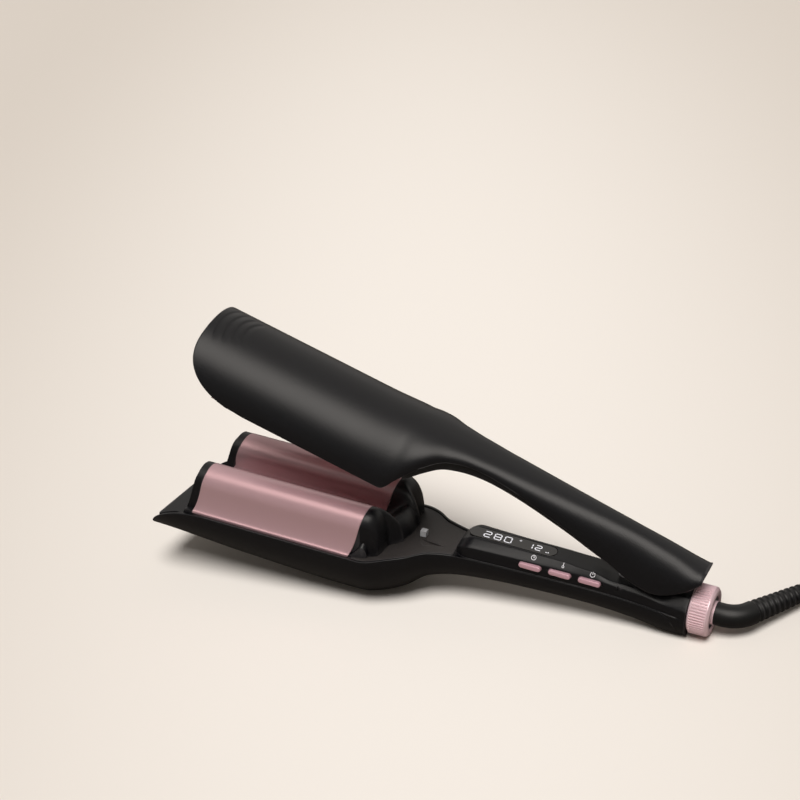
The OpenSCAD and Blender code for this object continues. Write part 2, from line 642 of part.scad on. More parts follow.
cover_stations = concat([for (d = [3.5, 6, nose_length]) nose_x + d],
    [for (t = [0.16, 0.48, 0.76, 1]) mix(nose_x + nose_length, facet_end - 4, t)],
    [for (d = [0, 4, 12]) facet_end + d],
    [for (d = [-22, -8, 4, 8, 14]) hinge_x + d],
    [end_wall_x - 0.1]);
function cover_end(x) = [cover_profile(x, 0), pressed(cover_profile(x, cover_wall), seam_height)];
module control_cover() {
    color(satin_black) on_floor() difference() {
        union() {
            band(concat(
                [for (d = [0, 0.7, 2, 3.4]) cover_end(nose_x + d)],
                [for (x = cover_stations) [cover_profile(x, 0), cover_profile(x, cover_wall)]],
                [for (x = [end_wall_x, arm_length]) cover_end(x)]));
            rod_y(hinge_x, hinge_z, knuckle_radius, knuckle_half);
            translate([hinge_x - knuckle_radius + 1, -knuckle_half + 1.6, deck_height - 1])
                cube([2 * knuckle_radius - 2, 2 * knuckle_half - 3.2, hinge_z - deck_height + 1]);
            for (x = screw_places) translate([x, 0, post_bottom(x)])
                cylinder(r = 3, h = cover_top(x) - 1 - post_bottom(x), $fn = 32);
            for (x = board_posts) translate([x, 4, board_top])
                cylinder(r = 1.5, h = cover_top(x) - 1 - board_top, $fn = 32);
        }
        rod_y(hinge_x, hinge_z, pin_radius + running, knuckle_half + 1);
        rod_x(end_wall_x - 2, arm_length + 1, socket_radius + fit);
        for (x = screw_places) translate([x, 0, post_bottom(x) - 1])
            cylinder(r = screw_shank, h = screw_bite + 2, $fn = 32);
        translate([lens_x, 0, facet_height - lens_thickness]) linear_extrude(5)
            pill(lens_length + 2 * cap_fit, lens_width + 2 * cap_fit);
        translate([lens_x - window_length / 2, -window_half, board_top])
            cube([window_length, 2 * window_half, 20]);
        for (x = button_places) {
            across_y(-jaw_half, -2) translate([x, button_z])
                pill(button_length + 2 * button_gap, button_height + 2 * button_gap);
            translate([x - flange_room, flange_face(x) - play, button_z - button_height / 2 - 1.4])
                cube([2 * flange_room, 3, button_height + 2.8]);
        }
    }
}

// Display
lens_start = nose_x + 5;
lens_length = facet_end - lens_margin - lens_start;
lens_x = lens_start + lens_length / 2;
window_length = lens_length - 8;
window_half = 3.2;
board_top = 3.6;
board_thickness = 1.2;
board_half = 6.6;
board_inset = 4.5;
switch_length = 6;
switch_depth = 3;
board_posts = [facet_end - 8, hinge_x - 26];
module display_lens() {
    color(glass_black) on_floor() translate([lens_x, 0, facet_height - lens_thickness])
        linear_extrude(lens_thickness) pill(lens_length, lens_width);
}
module display_module() {
    color(pale_grey) on_floor() translate([lens_x - window_length / 2 + 0.3, -window_half + 0.3, board_top])
        cube([window_length - 0.6, 2 * window_half - 0.6, facet_height - lens_thickness - board_top]);
}
module control_board() {
    color(board_green) on_floor() {
        translate([screw_places[0] + board_inset, -board_half, board_top - board_thickness])
            cube([screw_places[1] - screw_places[0] - 2 * board_inset, 2 * board_half, board_thickness]);
        for (x = button_places) translate([x - switch_length / 2, switch_face(x), board_top])
            cube([switch_length, switch_depth, button_z + button_height / 2 - board_top]);
    }
}

// Buttons: three pills in the side of the cover, each with a flange behind the wall
button_z = 6.2;
last_button = hinge_x - 32;
button_places = [for (i = [2 : -1 : 0]) last_button - i * button_pitch];
button_skin = 1.1;
flange_thickness = 0.8;
flange_room = button_length / 2 + 1.6;
function flange_face(x) = button_skin + play - lower_width(x);
function switch_face(x) = flange_face(x) + flange_thickness + button_travel + 0.3;
module button(x) {
    color(soft_pink) on_floor() {
        across_y(-lower_width(x) - button_proud, flange_face(x) + 0.1)
            translate([x, button_z]) pill(button_length, button_height);
        across_y(flange_face(x), flange_face(x) + flange_thickness)
            translate([x, button_z]) pill(button_length + 1.6, button_height + 1.6);
    }
}
module button_timer() { button(button_places[0]); }
module button_unit() { button(button_places[1]); }
module button_power() { button(button_places[2]); }

// Upper shell: the dome over the upper jaw, run on as the handle that is squeezed
function bent(v, p) = sign(v) * pow(abs(v), 2 / p);
function upper_arc(x, inset) =
    let (hw = upper_width(x) - inset, low = upper_edge(x), rise = upper_top(x) - low - inset,
         p = upper_power(x))
    [for (k = [0 : arc_steps]) let (a = 180 * k / arc_steps, z = rise * bent(sin(a), p))
        [skewed(x, upper_setback, z), hw * bent(cos(a), p), low + z]];
upper_length = arm_length + 2.5;
grip_stations = [for (t = [0, 0.31, 0.69, 1]) mix(dome_rear + 55, hinge_x - 28, t)];
upper_stations = concat(
    [for (d = [0, 6, 14, 24, 36, 48]) upper_setback + d],
    [for (t = [0, 0.57, 1]) mix(upper_setback + skew_end, dome_rear - 10, t)],
    [for (d = [-2, 2, 6, 10, 15, 21, 28, 38]) dome_rear + d],
    grip_stations,
    [for (d = [-14, -2, 6, 12, 18]) hinge_x + d]);
module upper_shell() {
    color(satin_black) opened()
        band(concat(
            [for (x = upper_stations) [upper_arc(x, 0), upper_arc(x, shell_wall)]],
            [for (x = [upper_length - 2.1]) [upper_arc(x, 0), upper_arc(x, shell_wall)]],
            [for (x = [upper_length - 2, upper_length])
                [upper_arc(x, 0), pressed(upper_arc(x, shell_wall), upper_edge(x))]]));
}

// Liner: the channel inside the handle that carries the pin and the spring
liner_wall = 1.6;
liner_start = upper_cap_end + 0.4;
liner_end = arm_length - 3;
function liner_curve(x, inset) =
    let (arc = upper_arc(x, inset), n = len(arc) - 1, low = liner_edge(x))
    concat([[x, arc[0][1], low]], arc, [[x, arc[n][1], low]]);
liner_stations = concat([liner_start], [for (d = [15, 21, 28, 38]) dome_rear + d], grip_stations,
                        [for (d = [-14, -4, 5, 12]) hinge_x + d], [liner_end]);
seat_x = hinge_x - spring_reach;
spring_bottom = deck_height;
spring_top = spring_bottom + 13;
module upper_liner() {
    color(dark_grey) difference() {
        union() {
            opened() band([for (x = liner_stations)
                [liner_curve(x, shell_wall + fit), liner_curve(x, shell_wall + fit + liner_wall)]]);
            on_floor() translate([seat_x, 0, spring_top])
                cylinder(r = spring_diameter / 2 + 0.6, h = post_top - spring_top, $fn = 40);
        }
        on_floor() rod_y(hinge_x, hinge_z, pin_radius + 0.01, 20);
    }
}
post_top = upper_top(seat_x) - shell_wall - 0.5 + spring_reach * sin(opening_angle);
module hinge_pin() {
    color(steel) on_floor()
        rod_y(hinge_x, hinge_z, pin_radius, upper_width(hinge_x) - shell_wall - fit);
}

// Arm spring: a compression coil between the cover and the liner's post
spring_sides = 6;
spring_rings = 8;
module arm_spring() {
    r = (spring_diameter - spring_wire) / 2;
    rise = spring_top - spring_bottom - spring_wire;
    count = spring_turns * spring_rings;
    color(steel) on_floor() translate([seat_x, 0, spring_bottom + spring_wire / 2])
        sweep_rings([for (i = [0 : count])
            let (a = 360 * i / spring_rings, out = [cos(a), sin(a), 0], z = rise * i / count)
            [for (k = [0 : spring_sides - 1]) let (b = 360 * (k + 0.5) / spring_sides)
                out * (r + cos(b) * spring_wire / 2) + [0, 0, z + sin(b) * spring_wire / 2]]],
            spring_sides);
}

// Tail socket, swivel and ring, all round the ring's axis
ring_front = arm_length + play;
ring_rear = ring_front + ring_length;
neck_rear = ring_rear - 0.8;
lip_radius = socket_radius + 0.5;
groove_middle = ring_front + ring_length / 2;
socket_front = end_wall_x - 3;
flange_radius = socket_radius + 0.8;
module tail_socket() {
    color(dark_grey) on_floor() difference() {
        union() {
            difference() {
                rod_x(socket_front, end_wall_x - 1.5 * fit, flange_radius);
                translate([socket_front - 1, -20, tail_height - cover_wall - 2 * fit]) cube([20, 40, 20]);
            }
            rod_x(end_wall_x - 1, neck_rear, socket_radius);
            rod_x(groove_middle - 0.5, groove_middle + 0.5, lip_radius);
        }
        rod_x(socket_front - 1, neck_rear + 1, swivel_radius + running);
    }
}
flute_depth = 0.4;
ring_collar = 1;
collar_radius = ring_radius - flute_depth - 0.2;
module lock_ring() {
    color(soft_pink) on_floor() difference() {
        union() {
            translate([ring_front + ring_collar, 0, ring_axis]) rotate([90, 0, 90])
                linear_extrude(ring_length - 2 * ring_collar)
                    polygon([for (i = [0 : 2 * ring_flutes - 1])
                        let (a = 180 * i / ring_flutes)
                        (ring_radius - (i % 2) * flute_depth) * [cos(a), sin(a)]]);
            rod_x(ring_front, ring_front + ring_collar + 0.1, collar_radius);
            rod_x(ring_rear - ring_collar - 0.1, ring_rear, collar_radius);
        }
        rod_x(ring_front - 1, ring_rear + 1, socket_radius + running);
        rod_x(groove_middle - 0.9, groove_middle + 0.9, lip_radius + play);
    }
}
swivel_bore = cord_diameter / 2 + 0.2;
swivel_rear = ring_rear + 0.8;
module swivel_bush() {
    color(dark_grey) on_floor() difference() {
        union() {
            rod_x(socket_front - play - 2.4, swivel_rear, swivel_radius);
            rod_x(socket_front - play - 2.4, socket_front - play, swivel_radius + 1);
        }
        rod_x(socket_front - 9, swivel_rear + 1, swivel_bore);
    }
}

// Cord. Everything here is drawn in the floor's frame.
boot_start = floor_point([swivel_rear, 0, ring_axis]);
axis_way = [cos(tilt), 0, -sin(tilt)];
side_way = [0, 1, 0];
boot_turn = 56;
boot_bend = 15;
boot_straight = 3;
rib_count = 11;
rib_pitch = 3.6;
rib_depth = 0.9;
cord_radius = cord_diameter / 2;
// Along the boot: straight, round the bend, then straight again
function boot_at(s) =
    let (bend = boot_bend * boot_turn * PI / 180, a = clamp01((s - boot_straight) / bend) * boot_turn,
         rest = max(0, s - boot_straight - bend))
    boot_start + axis_way * (min(s, boot_straight) + boot_bend * sin(a) + rest * cos(boot_turn))
        + side_way * (boot_bend * (1 - cos(a)) + rest * sin(boot_turn));
smooth_part = boot_straight + boot_bend * boot_turn * PI / 180 + 3;
boot_length = smooth_part + rib_count * rib_pitch + 3;
boot_end = boot_at(boot_length);
function boot_taper(i) = mix(boot_radius, cord_radius + 1.4, i / rib_count);
module cord_boot() {
    smooth_steps = 8;
    path = concat([for (i = [0 : smooth_steps]) boot_at(smooth_part * i / smooth_steps)],
                  [for (i = [0 : rib_count - 1], step = [0.25, 0.35, 0.9, 1])
                      boot_at(smooth_part + (i + step) * rib_pitch)],
                  [boot_end]);
    radii = concat([for (i = [0 : smooth_steps]) boot_radius],
                   [for (i = [0 : rib_count - 1], groove = [1, 0, 0, 1])
                       boot_taper(i) - rib_depth * groove],
                   [cord_radius + 0.6]);
    color(cord_black) swept_tube(path, radii, 12);
}

// The lead's route from the boot: [x, y] offsets, and how far it has come down
cord_rest = cord_radius + 1.1;
lead_route = [[0, 0, 0], [2, 3, 0.12], [4, 6, 0.32], [6, 9, 0.56], [8, 12, 0.78], [10, 15, 0.93],
              [12, 18, 1], [14, 21, 1]];
function level_point(from, offset, z) = [from[0] + offset[0], from[1] + offset[1], z];
lead_points = [for (p = lead_route) level_point(boot_end, p, mix(boot_end[2], cord_rest, p[2]))];
module cord_lead() {
    color(cord_black) swept_tube(lead_points, [for (p = lead_points) cord_radius], 8);
}

// The coil: a spiral in on the lower layer, half a turn that climbs, and a spiral out
coil_loops = 4;
coil_pitch = cord_diameter + 0.6;
coil_middle = 11.6 * cord_radius;
coil_outer = coil_middle + coil_loops * coil_pitch / 2;
coil_inner = coil_outer - coil_loops * coil_pitch;
coil_turns = 2 * coil_loops + 0.5;
coil_heading = atan2(6, 4);
coil_angle = coil_heading + 90;
lead_end = lead_points[len(lead_points) - 1];
coil_centre = [lead_end[0] - coil_outer * cos(coil_angle), lead_end[1] - coil_outer * sin(coil_angle)];
function coil_radius(t) =
    t < coil_loops ? coil_outer - coil_pitch * t
    : t < coil_loops + 0.5 ? let (u = t - coil_loops) coil_inner - coil_pitch * (u - 2 * u * u)
    : coil_inner + coil_pitch * (t - coil_loops - 0.5);
function coil_height(t) = cord_rest + coil_pitch * ease((t - coil_loops) * 2);
function coil_at(t) =
    let (a = coil_angle - 360 * t)
    [coil_centre[0] + coil_radius(t) * cos(a), coil_centre[1] + coil_radius(t) * sin(a), coil_height(t)];
coil_rings = 24;
coil_count = coil_turns * coil_rings;
coil_way_in = [cos(coil_heading), sin(coil_heading), 0];
coil_stub = cord_diameter;
coil_points = concat([coil_at(0)],
    [for (i = [0 : coil_count]) coil_at(i / coil_rings) + coil_way_in * coil_stub],
    [coil_at(coil_turns) + coil_way_in * coil_stub - coil_way_in * cord_diameter]);
coil_end = coil_points[len(coil_points) - 1];
function coil_gap_from(i) =
    min([for (j = [i + 12 : coil_count]) norm(coil_at(i / coil_rings) - coil_at(j / coil_rings))]);
echo(coil_gap = min([for (i = [0 : coil_count - 12]) coil_gap_from(i)]) - cord_diameter);
module cord_coil() {
    color(cord_black) swept_tube(coil_points, [for (p = coil_points) cord_radius], 6);
}
tie_width = 9;
tie_wall = 0.8;
tie_angle = coil_angle - 90;
tie_inside = coil_inner - coil_pitch / 8 - cord_radius - 1;
tie_outside = coil_outer + cord_radius - 0.2;
tie_top = cord_rest + coil_pitch + cord_radius + 0.3;
module coil_tie() {
    color(dark_grey) translate([coil_centre[0], coil_centre[1], 0] + coil_way_in * coil_stub)
        rotate(tie_angle) difference() {
            translate([tie_inside - tie_wall, -tie_width / 2, 0])
                cube([tie_outside - tie_inside + 2 * tie_wall, tie_width, tie_top + tie_wall]);
            translate([tie_inside, -tie_width, tie_wall])
                cube([tie_outside - tie_inside, 2 * tie_width, tie_top - tie_wall]);
        }
}

// The tail's route from the coil, round its outside and back over it: [x, y] offsets, and how far up
plug_relief = 16;
plug_length = 28;
plug_width = 25;
plug_height = 18;
plug_axis = tie_top + tie_wall + plug_height / 2 + 0.4;
tail_route = [[0, 0, 0], [-5, -7.5, 0.14], [-10, -15, 0.4], [-14.4, -21.6, 0.52], [-19.2, -27.1, 0.52],
              [-25.3, -31.2, 0.52], [-32.2, -33.6, 0.52], [-39.5, -34, 0.52], [-46.7, -32.6, 0.52],
              [-53.3, -29.4, 0.53], [-58.8, -24.6, 0.58], [-62.8, -18.5, 0.69], [-65.2, -11.6, 0.83],
              [-65.7, -4.3, 0.95], [-64.2, 2.9, 1], [-61, 9.4, 1]];
tail_points = [for (p = tail_route) level_point(coil_end, p, mix(coil_end[2], plug_axis, p[2]))];
module cord_tail() {
    color(cord_black) swept_tube(tail_points, [for (p = tail_points) cord_radius], 8);
}
plug_at = tail_points[len(tail_points) - 1];
blade_gap = 12.7;
module plug_body() {
    color(cord_black) translate(plug_at) rotate(coil_angle) {
        rotate([90, 0, 0]) cylinder(r1 = cord_radius + 1, r2 = 7.5, h = plug_relief, $fn = 40);
        translate([-plug_width / 2, -plug_relief - plug_length, -plug_height / 2 + 0.4])
            cube([plug_width, plug_length, plug_height - 0.8]);
        for (side = [-1, 1]) translate([0, -plug_relief, 0]) rotate([90, 0, 0])
            translate([side * (plug_width / 2 - plug_height / 2 + 0.6), 0, 0])
                cylinder(d = plug_height, h = plug_length, $fn = 48);
    }
}
module plug_blades() {
    color(steel) translate(plug_at) rotate(coil_angle) for (side = [-1, 1])
        translate([side * blade_gap / 2 - 0.75, -plug_relief - plug_length - 17, -3.2])
            cube([1.5, 17, 6.4]);
}

lower_shell();
lower_carrier();
lower_plate();
lower_heaters();
lower_front_cap();
lower_rear_cap();
rear_cap_clip();
neck_cover();
control_cover();
display_lens();
display_module();
control_board();
button_timer();
button_unit();
button_power();
arm_spring();
handle_screws();
tail_socket();
lock_ring();
upper_shell();
upper_liner();
upper_carrier();
upper_plate();
upper_heater();
upper_front_cap();
upper_rear_cap();
hinge_pin();
swivel_bush();
cord_boot();
cord_lead();
cord_coil();
coil_tie();
cord_tail();
plug_body();
plug_blades();
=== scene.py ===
# %% [markdown]
# # A deep hair waver
# The tool is two hinged arms. Each ends in a jaw with a waved metal plate, and the lower
# arm carries the display, the buttons, a knurled ring and the mains cord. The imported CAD
# model is loaded first. It fixes every place and size, so this script only has to make
# surfaces worth looking at and lay them exactly over the solids.

# %% Load the CAD frame
import json
import math

import bmesh
import bpy
from mathutils import Matrix, Vector


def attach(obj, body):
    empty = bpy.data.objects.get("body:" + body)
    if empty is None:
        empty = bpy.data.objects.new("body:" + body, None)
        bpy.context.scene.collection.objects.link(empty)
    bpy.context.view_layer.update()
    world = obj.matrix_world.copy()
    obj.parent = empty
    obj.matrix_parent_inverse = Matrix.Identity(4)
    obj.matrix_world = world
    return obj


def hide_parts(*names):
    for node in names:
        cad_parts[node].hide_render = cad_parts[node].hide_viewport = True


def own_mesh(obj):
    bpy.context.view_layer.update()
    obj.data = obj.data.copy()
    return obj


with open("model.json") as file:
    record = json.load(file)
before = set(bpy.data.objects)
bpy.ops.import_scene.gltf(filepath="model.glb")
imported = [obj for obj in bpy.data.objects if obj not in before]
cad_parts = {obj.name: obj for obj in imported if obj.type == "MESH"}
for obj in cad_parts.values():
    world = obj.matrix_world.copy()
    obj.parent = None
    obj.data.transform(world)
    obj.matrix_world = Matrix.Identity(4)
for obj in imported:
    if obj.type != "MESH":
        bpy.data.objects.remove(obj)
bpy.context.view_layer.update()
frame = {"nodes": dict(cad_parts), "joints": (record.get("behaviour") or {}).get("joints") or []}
MM = 0.001

# %% [markdown]
# ## Places on the tool
# Everything on the tool is easiest to describe along its own axis: x from the lower lip
# to the cord, y across, z up. Two small functions then carry such a place to the row
# frame. `lay` rests the lower arm on the surface, and `lift` also opens the upper arm
# about the hinge pin. The angles come from the sizes in the part's source, so one change
# there is one change here.

# %% Driving sizes, in millimetres
JAW_WIDTH = 66
JAW_LENGTH = 140
LIP_REACH = 34
PLATE_THICKNESS = 1.6
CREST_HEIGHT = 21.5
VALLEY_HEIGHT = -1.3
HAIR_GAP = 1.2
EDGE_CURL = 3
WALL = 2
LOWER_RIM = -4.4
DEPTH_FRONT = 28.5
DEPTH_REAR = 35.5
UPPER_RIM = 9
UPPER_DOME = 29.6
UPPER_SETBACK = 21
CORNER_LENGTH = 40
CORNER_HEIGHT = 26
FOOT_CUT = 0.8
ARM_LENGTH = 314
WAIST_HALF = 9.8
SEAM = 2
FACET_HEIGHT = 12.5
FACET_HALF = 5.8
GRIP_HALF = 12.2
GRIP_TOP = 39.5
HINGE_X, HINGE_Z = 292, 16
OPENING = 15
FIT = 0.2
HALF = JAW_WIDTH / 2
PLATE_REAR = JAW_LENGTH - 9
UPPER_PLATE_FRONT = UPPER_SETBACK + 20
NECK_X = JAW_LENGTH + 30
WAIST_X = 265
DOME_REAR = JAW_LENGTH + 5

# %% Curves through a few given points
def mix(a, b, t):
    return a + (b - a) * t


def clamp(t):
    return min(1.0, max(0.0, t))


def ease(t):
    t = clamp(t)
    return t * t * (3 - 2 * t)


def curve(table, x):
    """A smooth curve through [x, value] points that never overshoots them."""
    x = min(max(x, table[0][0]), table[-1][0])
    i = max(j for j in range(len(table) - 1) if table[j][0] <= x) if x > table[0][0] else 0
    width = [b[0] - a[0] for a, b in zip(table, table[1:])]
    chord = [(b[1] - a[1]) / w for a, b, w in zip(table, table[1:], width)]

    def lean(k):
        if k == 0 or k == len(table) - 1 or chord[k - 1] * chord[k] <= 0:
            return 0.0
        return 2 * chord[k - 1] * chord[k] / (chord[k - 1] + chord[k])

    t = (x - table[i][0]) / width[i]
    a, b = table[i][1], table[i + 1][1]
    da, db = lean(i) * width[i], lean(i + 1) * width[i]
    return a + da * t + (3 * (b - a) - 2 * da - db) * t * t + (2 * (a - b) + da + db) * t ** 3


LOWER_WIDTH = [(0, HALF), (JAW_LENGTH - 4, HALF), (JAW_LENGTH + 10, HALF - 3.5), (JAW_LENGTH + 19, 25.5),
               (NECK_X, 17.5), (NECK_X + 17, 13), (NECK_X + 40, 11.6), (WAIST_X, WAIST_HALF),
               (WAIST_X + 20, WAIST_HALF + 0.8), (ARM_LENGTH - 10, 12.6), (ARM_LENGTH, 13)]
LOWER_RIM_LINE = [(0, LOWER_RIM), (JAW_LENGTH - 6, LOWER_RIM), (JAW_LENGTH + 16, 0), (NECK_X + 4, SEAM),
                  (ARM_LENGTH, SEAM)]
LOWER_BOTTOM = [(0, LOWER_RIM - DEPTH_FRONT), (LIP_REACH + 24, LOWER_RIM - mix(DEPTH_FRONT, DEPTH_REAR, 0.62)),
                (JAW_LENGTH - 20, LOWER_RIM - DEPTH_REAR), (JAW_LENGTH - 8, LOWER_RIM - DEPTH_REAR + 0.2),
                (JAW_LENGTH + 4, LOWER_RIM - DEPTH_REAR + 3.4), (JAW_LENGTH + 15, -31), (JAW_LENGTH + 27, -22),
                (JAW_LENGTH + 46, -17), (JAW_LENGTH + 78, -13.6), (WAIST_X - 6, -12.4), (WAIST_X + 18, -13.4),
                (ARM_LENGTH - 9, -15.4), (ARM_LENGTH, -15.2)]
UPPER_WIDTH = [(0, HALF), (DOME_REAR - 2, HALF - 0.3), (DOME_REAR + 7, HALF - 3.6), (DOME_REAR + 15, 24),
               (DOME_REAR + 25, 17), (DOME_REAR + 38, 13.4), (DOME_REAR + 55, GRIP_HALF),
               (HINGE_X - 20, GRIP_HALF), (HINGE_X, GRIP_HALF + 1), (HINGE_X + 12, GRIP_HALF + 0.6),
               (ARM_LENGTH - 3, GRIP_HALF - 0.3), (ARM_LENGTH + 2.5, 10)]
UPPER_EDGE = [(0, UPPER_RIM), (DOME_REAR, UPPER_RIM), (DOME_REAR + 7, UPPER_RIM + 8),
              (DOME_REAR + 16, UPPER_RIM + 17), (DOME_REAR + 28, UPPER_RIM + 23),
              (DOME_REAR + 42, UPPER_RIM + 24.5), (DOME_REAR + 60, UPPER_RIM + 23), (HINGE_X - 52, 25.5),
              (HINGE_X - 26, 18.5), (HINGE_X - 4, 13.6), (HINGE_X + 4, 14), (HINGE_X + 13, 18.6),
              (ARM_LENGTH + 1, 28.5), (ARM_LENGTH + 2.5, 31)]
UPPER_TOP = [(0, UPPER_RIM + UPPER_DOME), (DOME_REAR - 25, UPPER_RIM + UPPER_DOME), (DOME_REAR + 5, GRIP_TOP + 0.5),
             (DOME_REAR + 60, GRIP_TOP), (HINGE_X - 26, GRIP_TOP - 0.6), (HINGE_X + 4, GRIP_TOP - 2),
             (ARM_LENGTH + 2.5, GRIP_TOP - 4)]
LINER_DROP = [(0, 0), (DOME_REAR + 2, 0.4), (DOME_REAR + 14, 5), (DOME_REAR + 32, 6), (DOME_REAR + 60, 4.4),
              (HINGE_X - 40, 2.6), (HINGE_X - 8, 1), (ARM_LENGTH + 2.5, 0.6)]

# %% From the tool's axis to the row frame
def lower_bottom(x):
    return curve(LOWER_BOTTOM, x)


JAW_FOOT_X = JAW_LENGTH - 10
REAR_FOOT_X = ARM_LENGTH - 9
TILT = math.atan((lower_bottom(REAR_FOOT_X) - lower_bottom(JAW_FOOT_X)) / (REAR_FOOT_X - JAW_FOOT_X))
REST = (Matrix.Rotation(TILT, 4, "Y")
        @ Matrix.Translation((-JAW_FOOT_X, 0, -lower_bottom(JAW_FOOT_X) - FOOT_CUT)))
HINGE = Matrix.Translation((HINGE_X, 0, HINGE_Z))
OPEN = REST @ HINGE @ Matrix.Rotation(math.radians(OPENING), 4, "Y") @ HINGE.inverted()


def lay(point):
    """A place on the lower arm, in the row frame and in metres."""
    return REST @ Vector(point) * MM


def lift(point):
    """A place on the upper arm, drawn closed, in the row frame and in metres."""
    return OPEN @ Vector(point) * MM


hinge = next(j for j in frame["joints"] if j["name"] == "jaw_hinge")
print("hinge off the CAD's by", round(1000 * (lay((HINGE_X, 0, HINGE_Z)) - Vector(hinge["pos_m"])).length, 2), "mm")

# %% [markdown]
# ## Camera and cord
# The camera comes before everything else, because it decides what may be seen. It stands
# to the right and in front, and looks down at the tool through a 90 mm lens. The cord is
# next. It follows the same route as its solids: out of the boot, down to the surface,
# round a flat coil that lies beyond the picture's right edge, and on to the plug.

# %% The camera
CAMERA_PLACE = Vector((473.5, -820.9, 619.0)) * MM
CAMERA_RIGHT = Vector((0.9018, 0.4176, -0.1111))
CAMERA_UP = Vector((-0.1114, 0.4729, 0.8741))
CAMERA_LENS = 90

camera_data = bpy.data.cameras.new("camera")
camera_data.lens = CAMERA_LENS
camera_data.sensor_width = 36
camera_data.clip_end = 20
camera = bpy.data.objects.new("camera", camera_data)
bpy.context.scene.collection.objects.link(camera)
camera_right = CAMERA_RIGHT.normalized()
camera_up = (CAMERA_UP - CAMERA_UP.dot(camera_right) * camera_right).normalized()
camera_back = camera_right.cross(camera_up)
turn = Matrix((camera_right, camera_up, camera_back)).transposed()
camera.matrix_world = Matrix.Translation(CAMERA_PLACE) @ turn.to_4x4()
bpy.context.scene.camera = camera

# %% Small helpers for meshes
def add_object(name, data):
    obj = bpy.data.objects.new(name, data)
    bpy.context.scene.collection.objects.link(obj)
    return obj


def finish_mesh(obj, crease=32):
    """Turns the faces outwards, and shades smoothly except across sharp edges."""
    work = bmesh.new()
    work.from_mesh(obj.data)
    bmesh.ops.remove_doubles(work, verts=work.verts, dist=1e-7)
    bmesh.ops.dissolve_degenerate(work, edges=work.edges, dist=1e-7)
    bmesh.ops.recalc_face_normals(work, faces=work.faces)
    work.to_mesh(obj.data)
    work.free()
    for face in obj.data.polygons:
        face.use_smooth = True
    obj.data.set_sharp_from_angle(angle=math.radians(crease))
    return obj


def loft(name, rows, crease=32, caps=None, wrap=False):
    """Joins loops of points to each other. The ends get caps, or the last loop meets the first."""
    count, total = len(rows[0]), len(rows)
    faces = [(j * count + k, j * count + (k + 1) % count, (j + 1) % total * count + (k + 1) % count,
              (j + 1) % total * count + k) for j in range(total if wrap else total - 1) for k in range(count)]
    if caps is None:
        caps = [tuple(range(count))[::-1], tuple(range((total - 1) * count, total * count))]
    mesh = bpy.data.meshes.new(name)
    mesh.from_pydata([tuple(p) for row in rows for p in row], [], faces if wrap else faces + caps)
    return finish_mesh(add_object(name, mesh), crease)


def skin(name, pairs, place, crease=32):
    """A closed solid between two curves that run side by side, one pair a station."""
    count = len(pairs[0][0])
    ring = 2 * count
    rows = [[place(p) for p in list(outer) + list(inner)[::-1]] for outer, inner in pairs]
    caps = [(base + k, base + k + 1, base + ring - 2 - k, base + ring - 1 - k)
            for base in (0, (len(rows) - 1) * ring) for k in range(count - 1)]
    return loft(name, rows, crease, caps)


def steps(start, end, count):
    return [mix(start, end, i / count) for i in range(count + 1)]


def polar(degrees, radius, tall=None):
    """A place on a circle about the origin, or on an ellipse when it has a second radius."""
    angle = math.radians(degrees)
    return radius * math.cos(angle), (radius if tall is None else tall) * math.sin(angle)


# %% The cord's route, in the row frame and in millimetres
RING_AXIS = 2.2
RING_FRONT = ARM_LENGTH + 0.4
RING_LENGTH = 11.5
RING_REAR = RING_FRONT + RING_LENGTH
RING_RADIUS = 13.5
SWIVEL_REAR = RING_REAR + 0.8
CORD_RADIUS = 3.2
CORD_REST = CORD_RADIUS + 1.1
BOOT_RADIUS = 6.2
BOOT_BEND, BOOT_TURN, BOOT_STRAIGHT = 15, math.radians(56), 3
RIB_COUNT, RIB_PITCH, RIB_DEPTH = 11, 3.6, 0.9
SMOOTH_PART = BOOT_STRAIGHT + BOOT_BEND * BOOT_TURN + 3
BOOT_LENGTH = SMOOTH_PART + RIB_COUNT * RIB_PITCH + 3
AXIS_WAY = Vector((math.cos(TILT), 0, -math.sin(TILT)))
SIDE_WAY = Vector((0, 1, 0))
BOOT_START = lay((SWIVEL_REAR, 0, RING_AXIS)) / MM


def boot_at(s):
    """The boot's centre line, s mm along it: straight, round the bend, straight again."""
    bend = BOOT_BEND * BOOT_TURN
    angle = clamp((s - BOOT_STRAIGHT) / bend) * BOOT_TURN
    rest = max(0, s - BOOT_STRAIGHT - bend)
    forward = min(s, BOOT_STRAIGHT) + BOOT_BEND * math.sin(angle) + rest * math.cos(BOOT_TURN)
    aside = BOOT_BEND * (1 - math.cos(angle)) + rest * math.sin(BOOT_TURN)
    return BOOT_START + AXIS_WAY * forward + SIDE_WAY * aside


LEAD_ROUTE = [(0, 0, 0), (2, 3, 0.12), (4, 6, 0.32), (6, 9, 0.56), (8, 12, 0.78), (10, 15, 0.93), (12, 18, 1),
              (14, 21, 1)]
TAIL_ROUTE = [(0, 0, 0), (-5, -7.5, 0.14), (-10, -15, 0.4), (-14.4, -21.6, 0.52), (-19.2, -27.1, 0.52),
              (-25.3, -31.2, 0.52), (-32.2, -33.6, 0.52), (-39.5, -34, 0.52), (-46.7, -32.6, 0.52),
              (-53.3, -29.4, 0.53), (-58.8, -24.6, 0.58), (-62.8, -18.5, 0.69), (-65.2, -11.6, 0.83),
              (-65.7, -4.3, 0.95), (-64.2, 2.9, 1), (-61, 9.4, 1)]
COIL_LOOPS = 4
COIL_PITCH = 2 * CORD_RADIUS + 0.6
COIL_OUTER = 11.6 * CORD_RADIUS + COIL_LOOPS * COIL_PITCH / 2
COIL_INNER = COIL_OUTER - COIL_LOOPS * COIL_PITCH
COIL_TURNS = 2 * COIL_LOOPS + 0.5
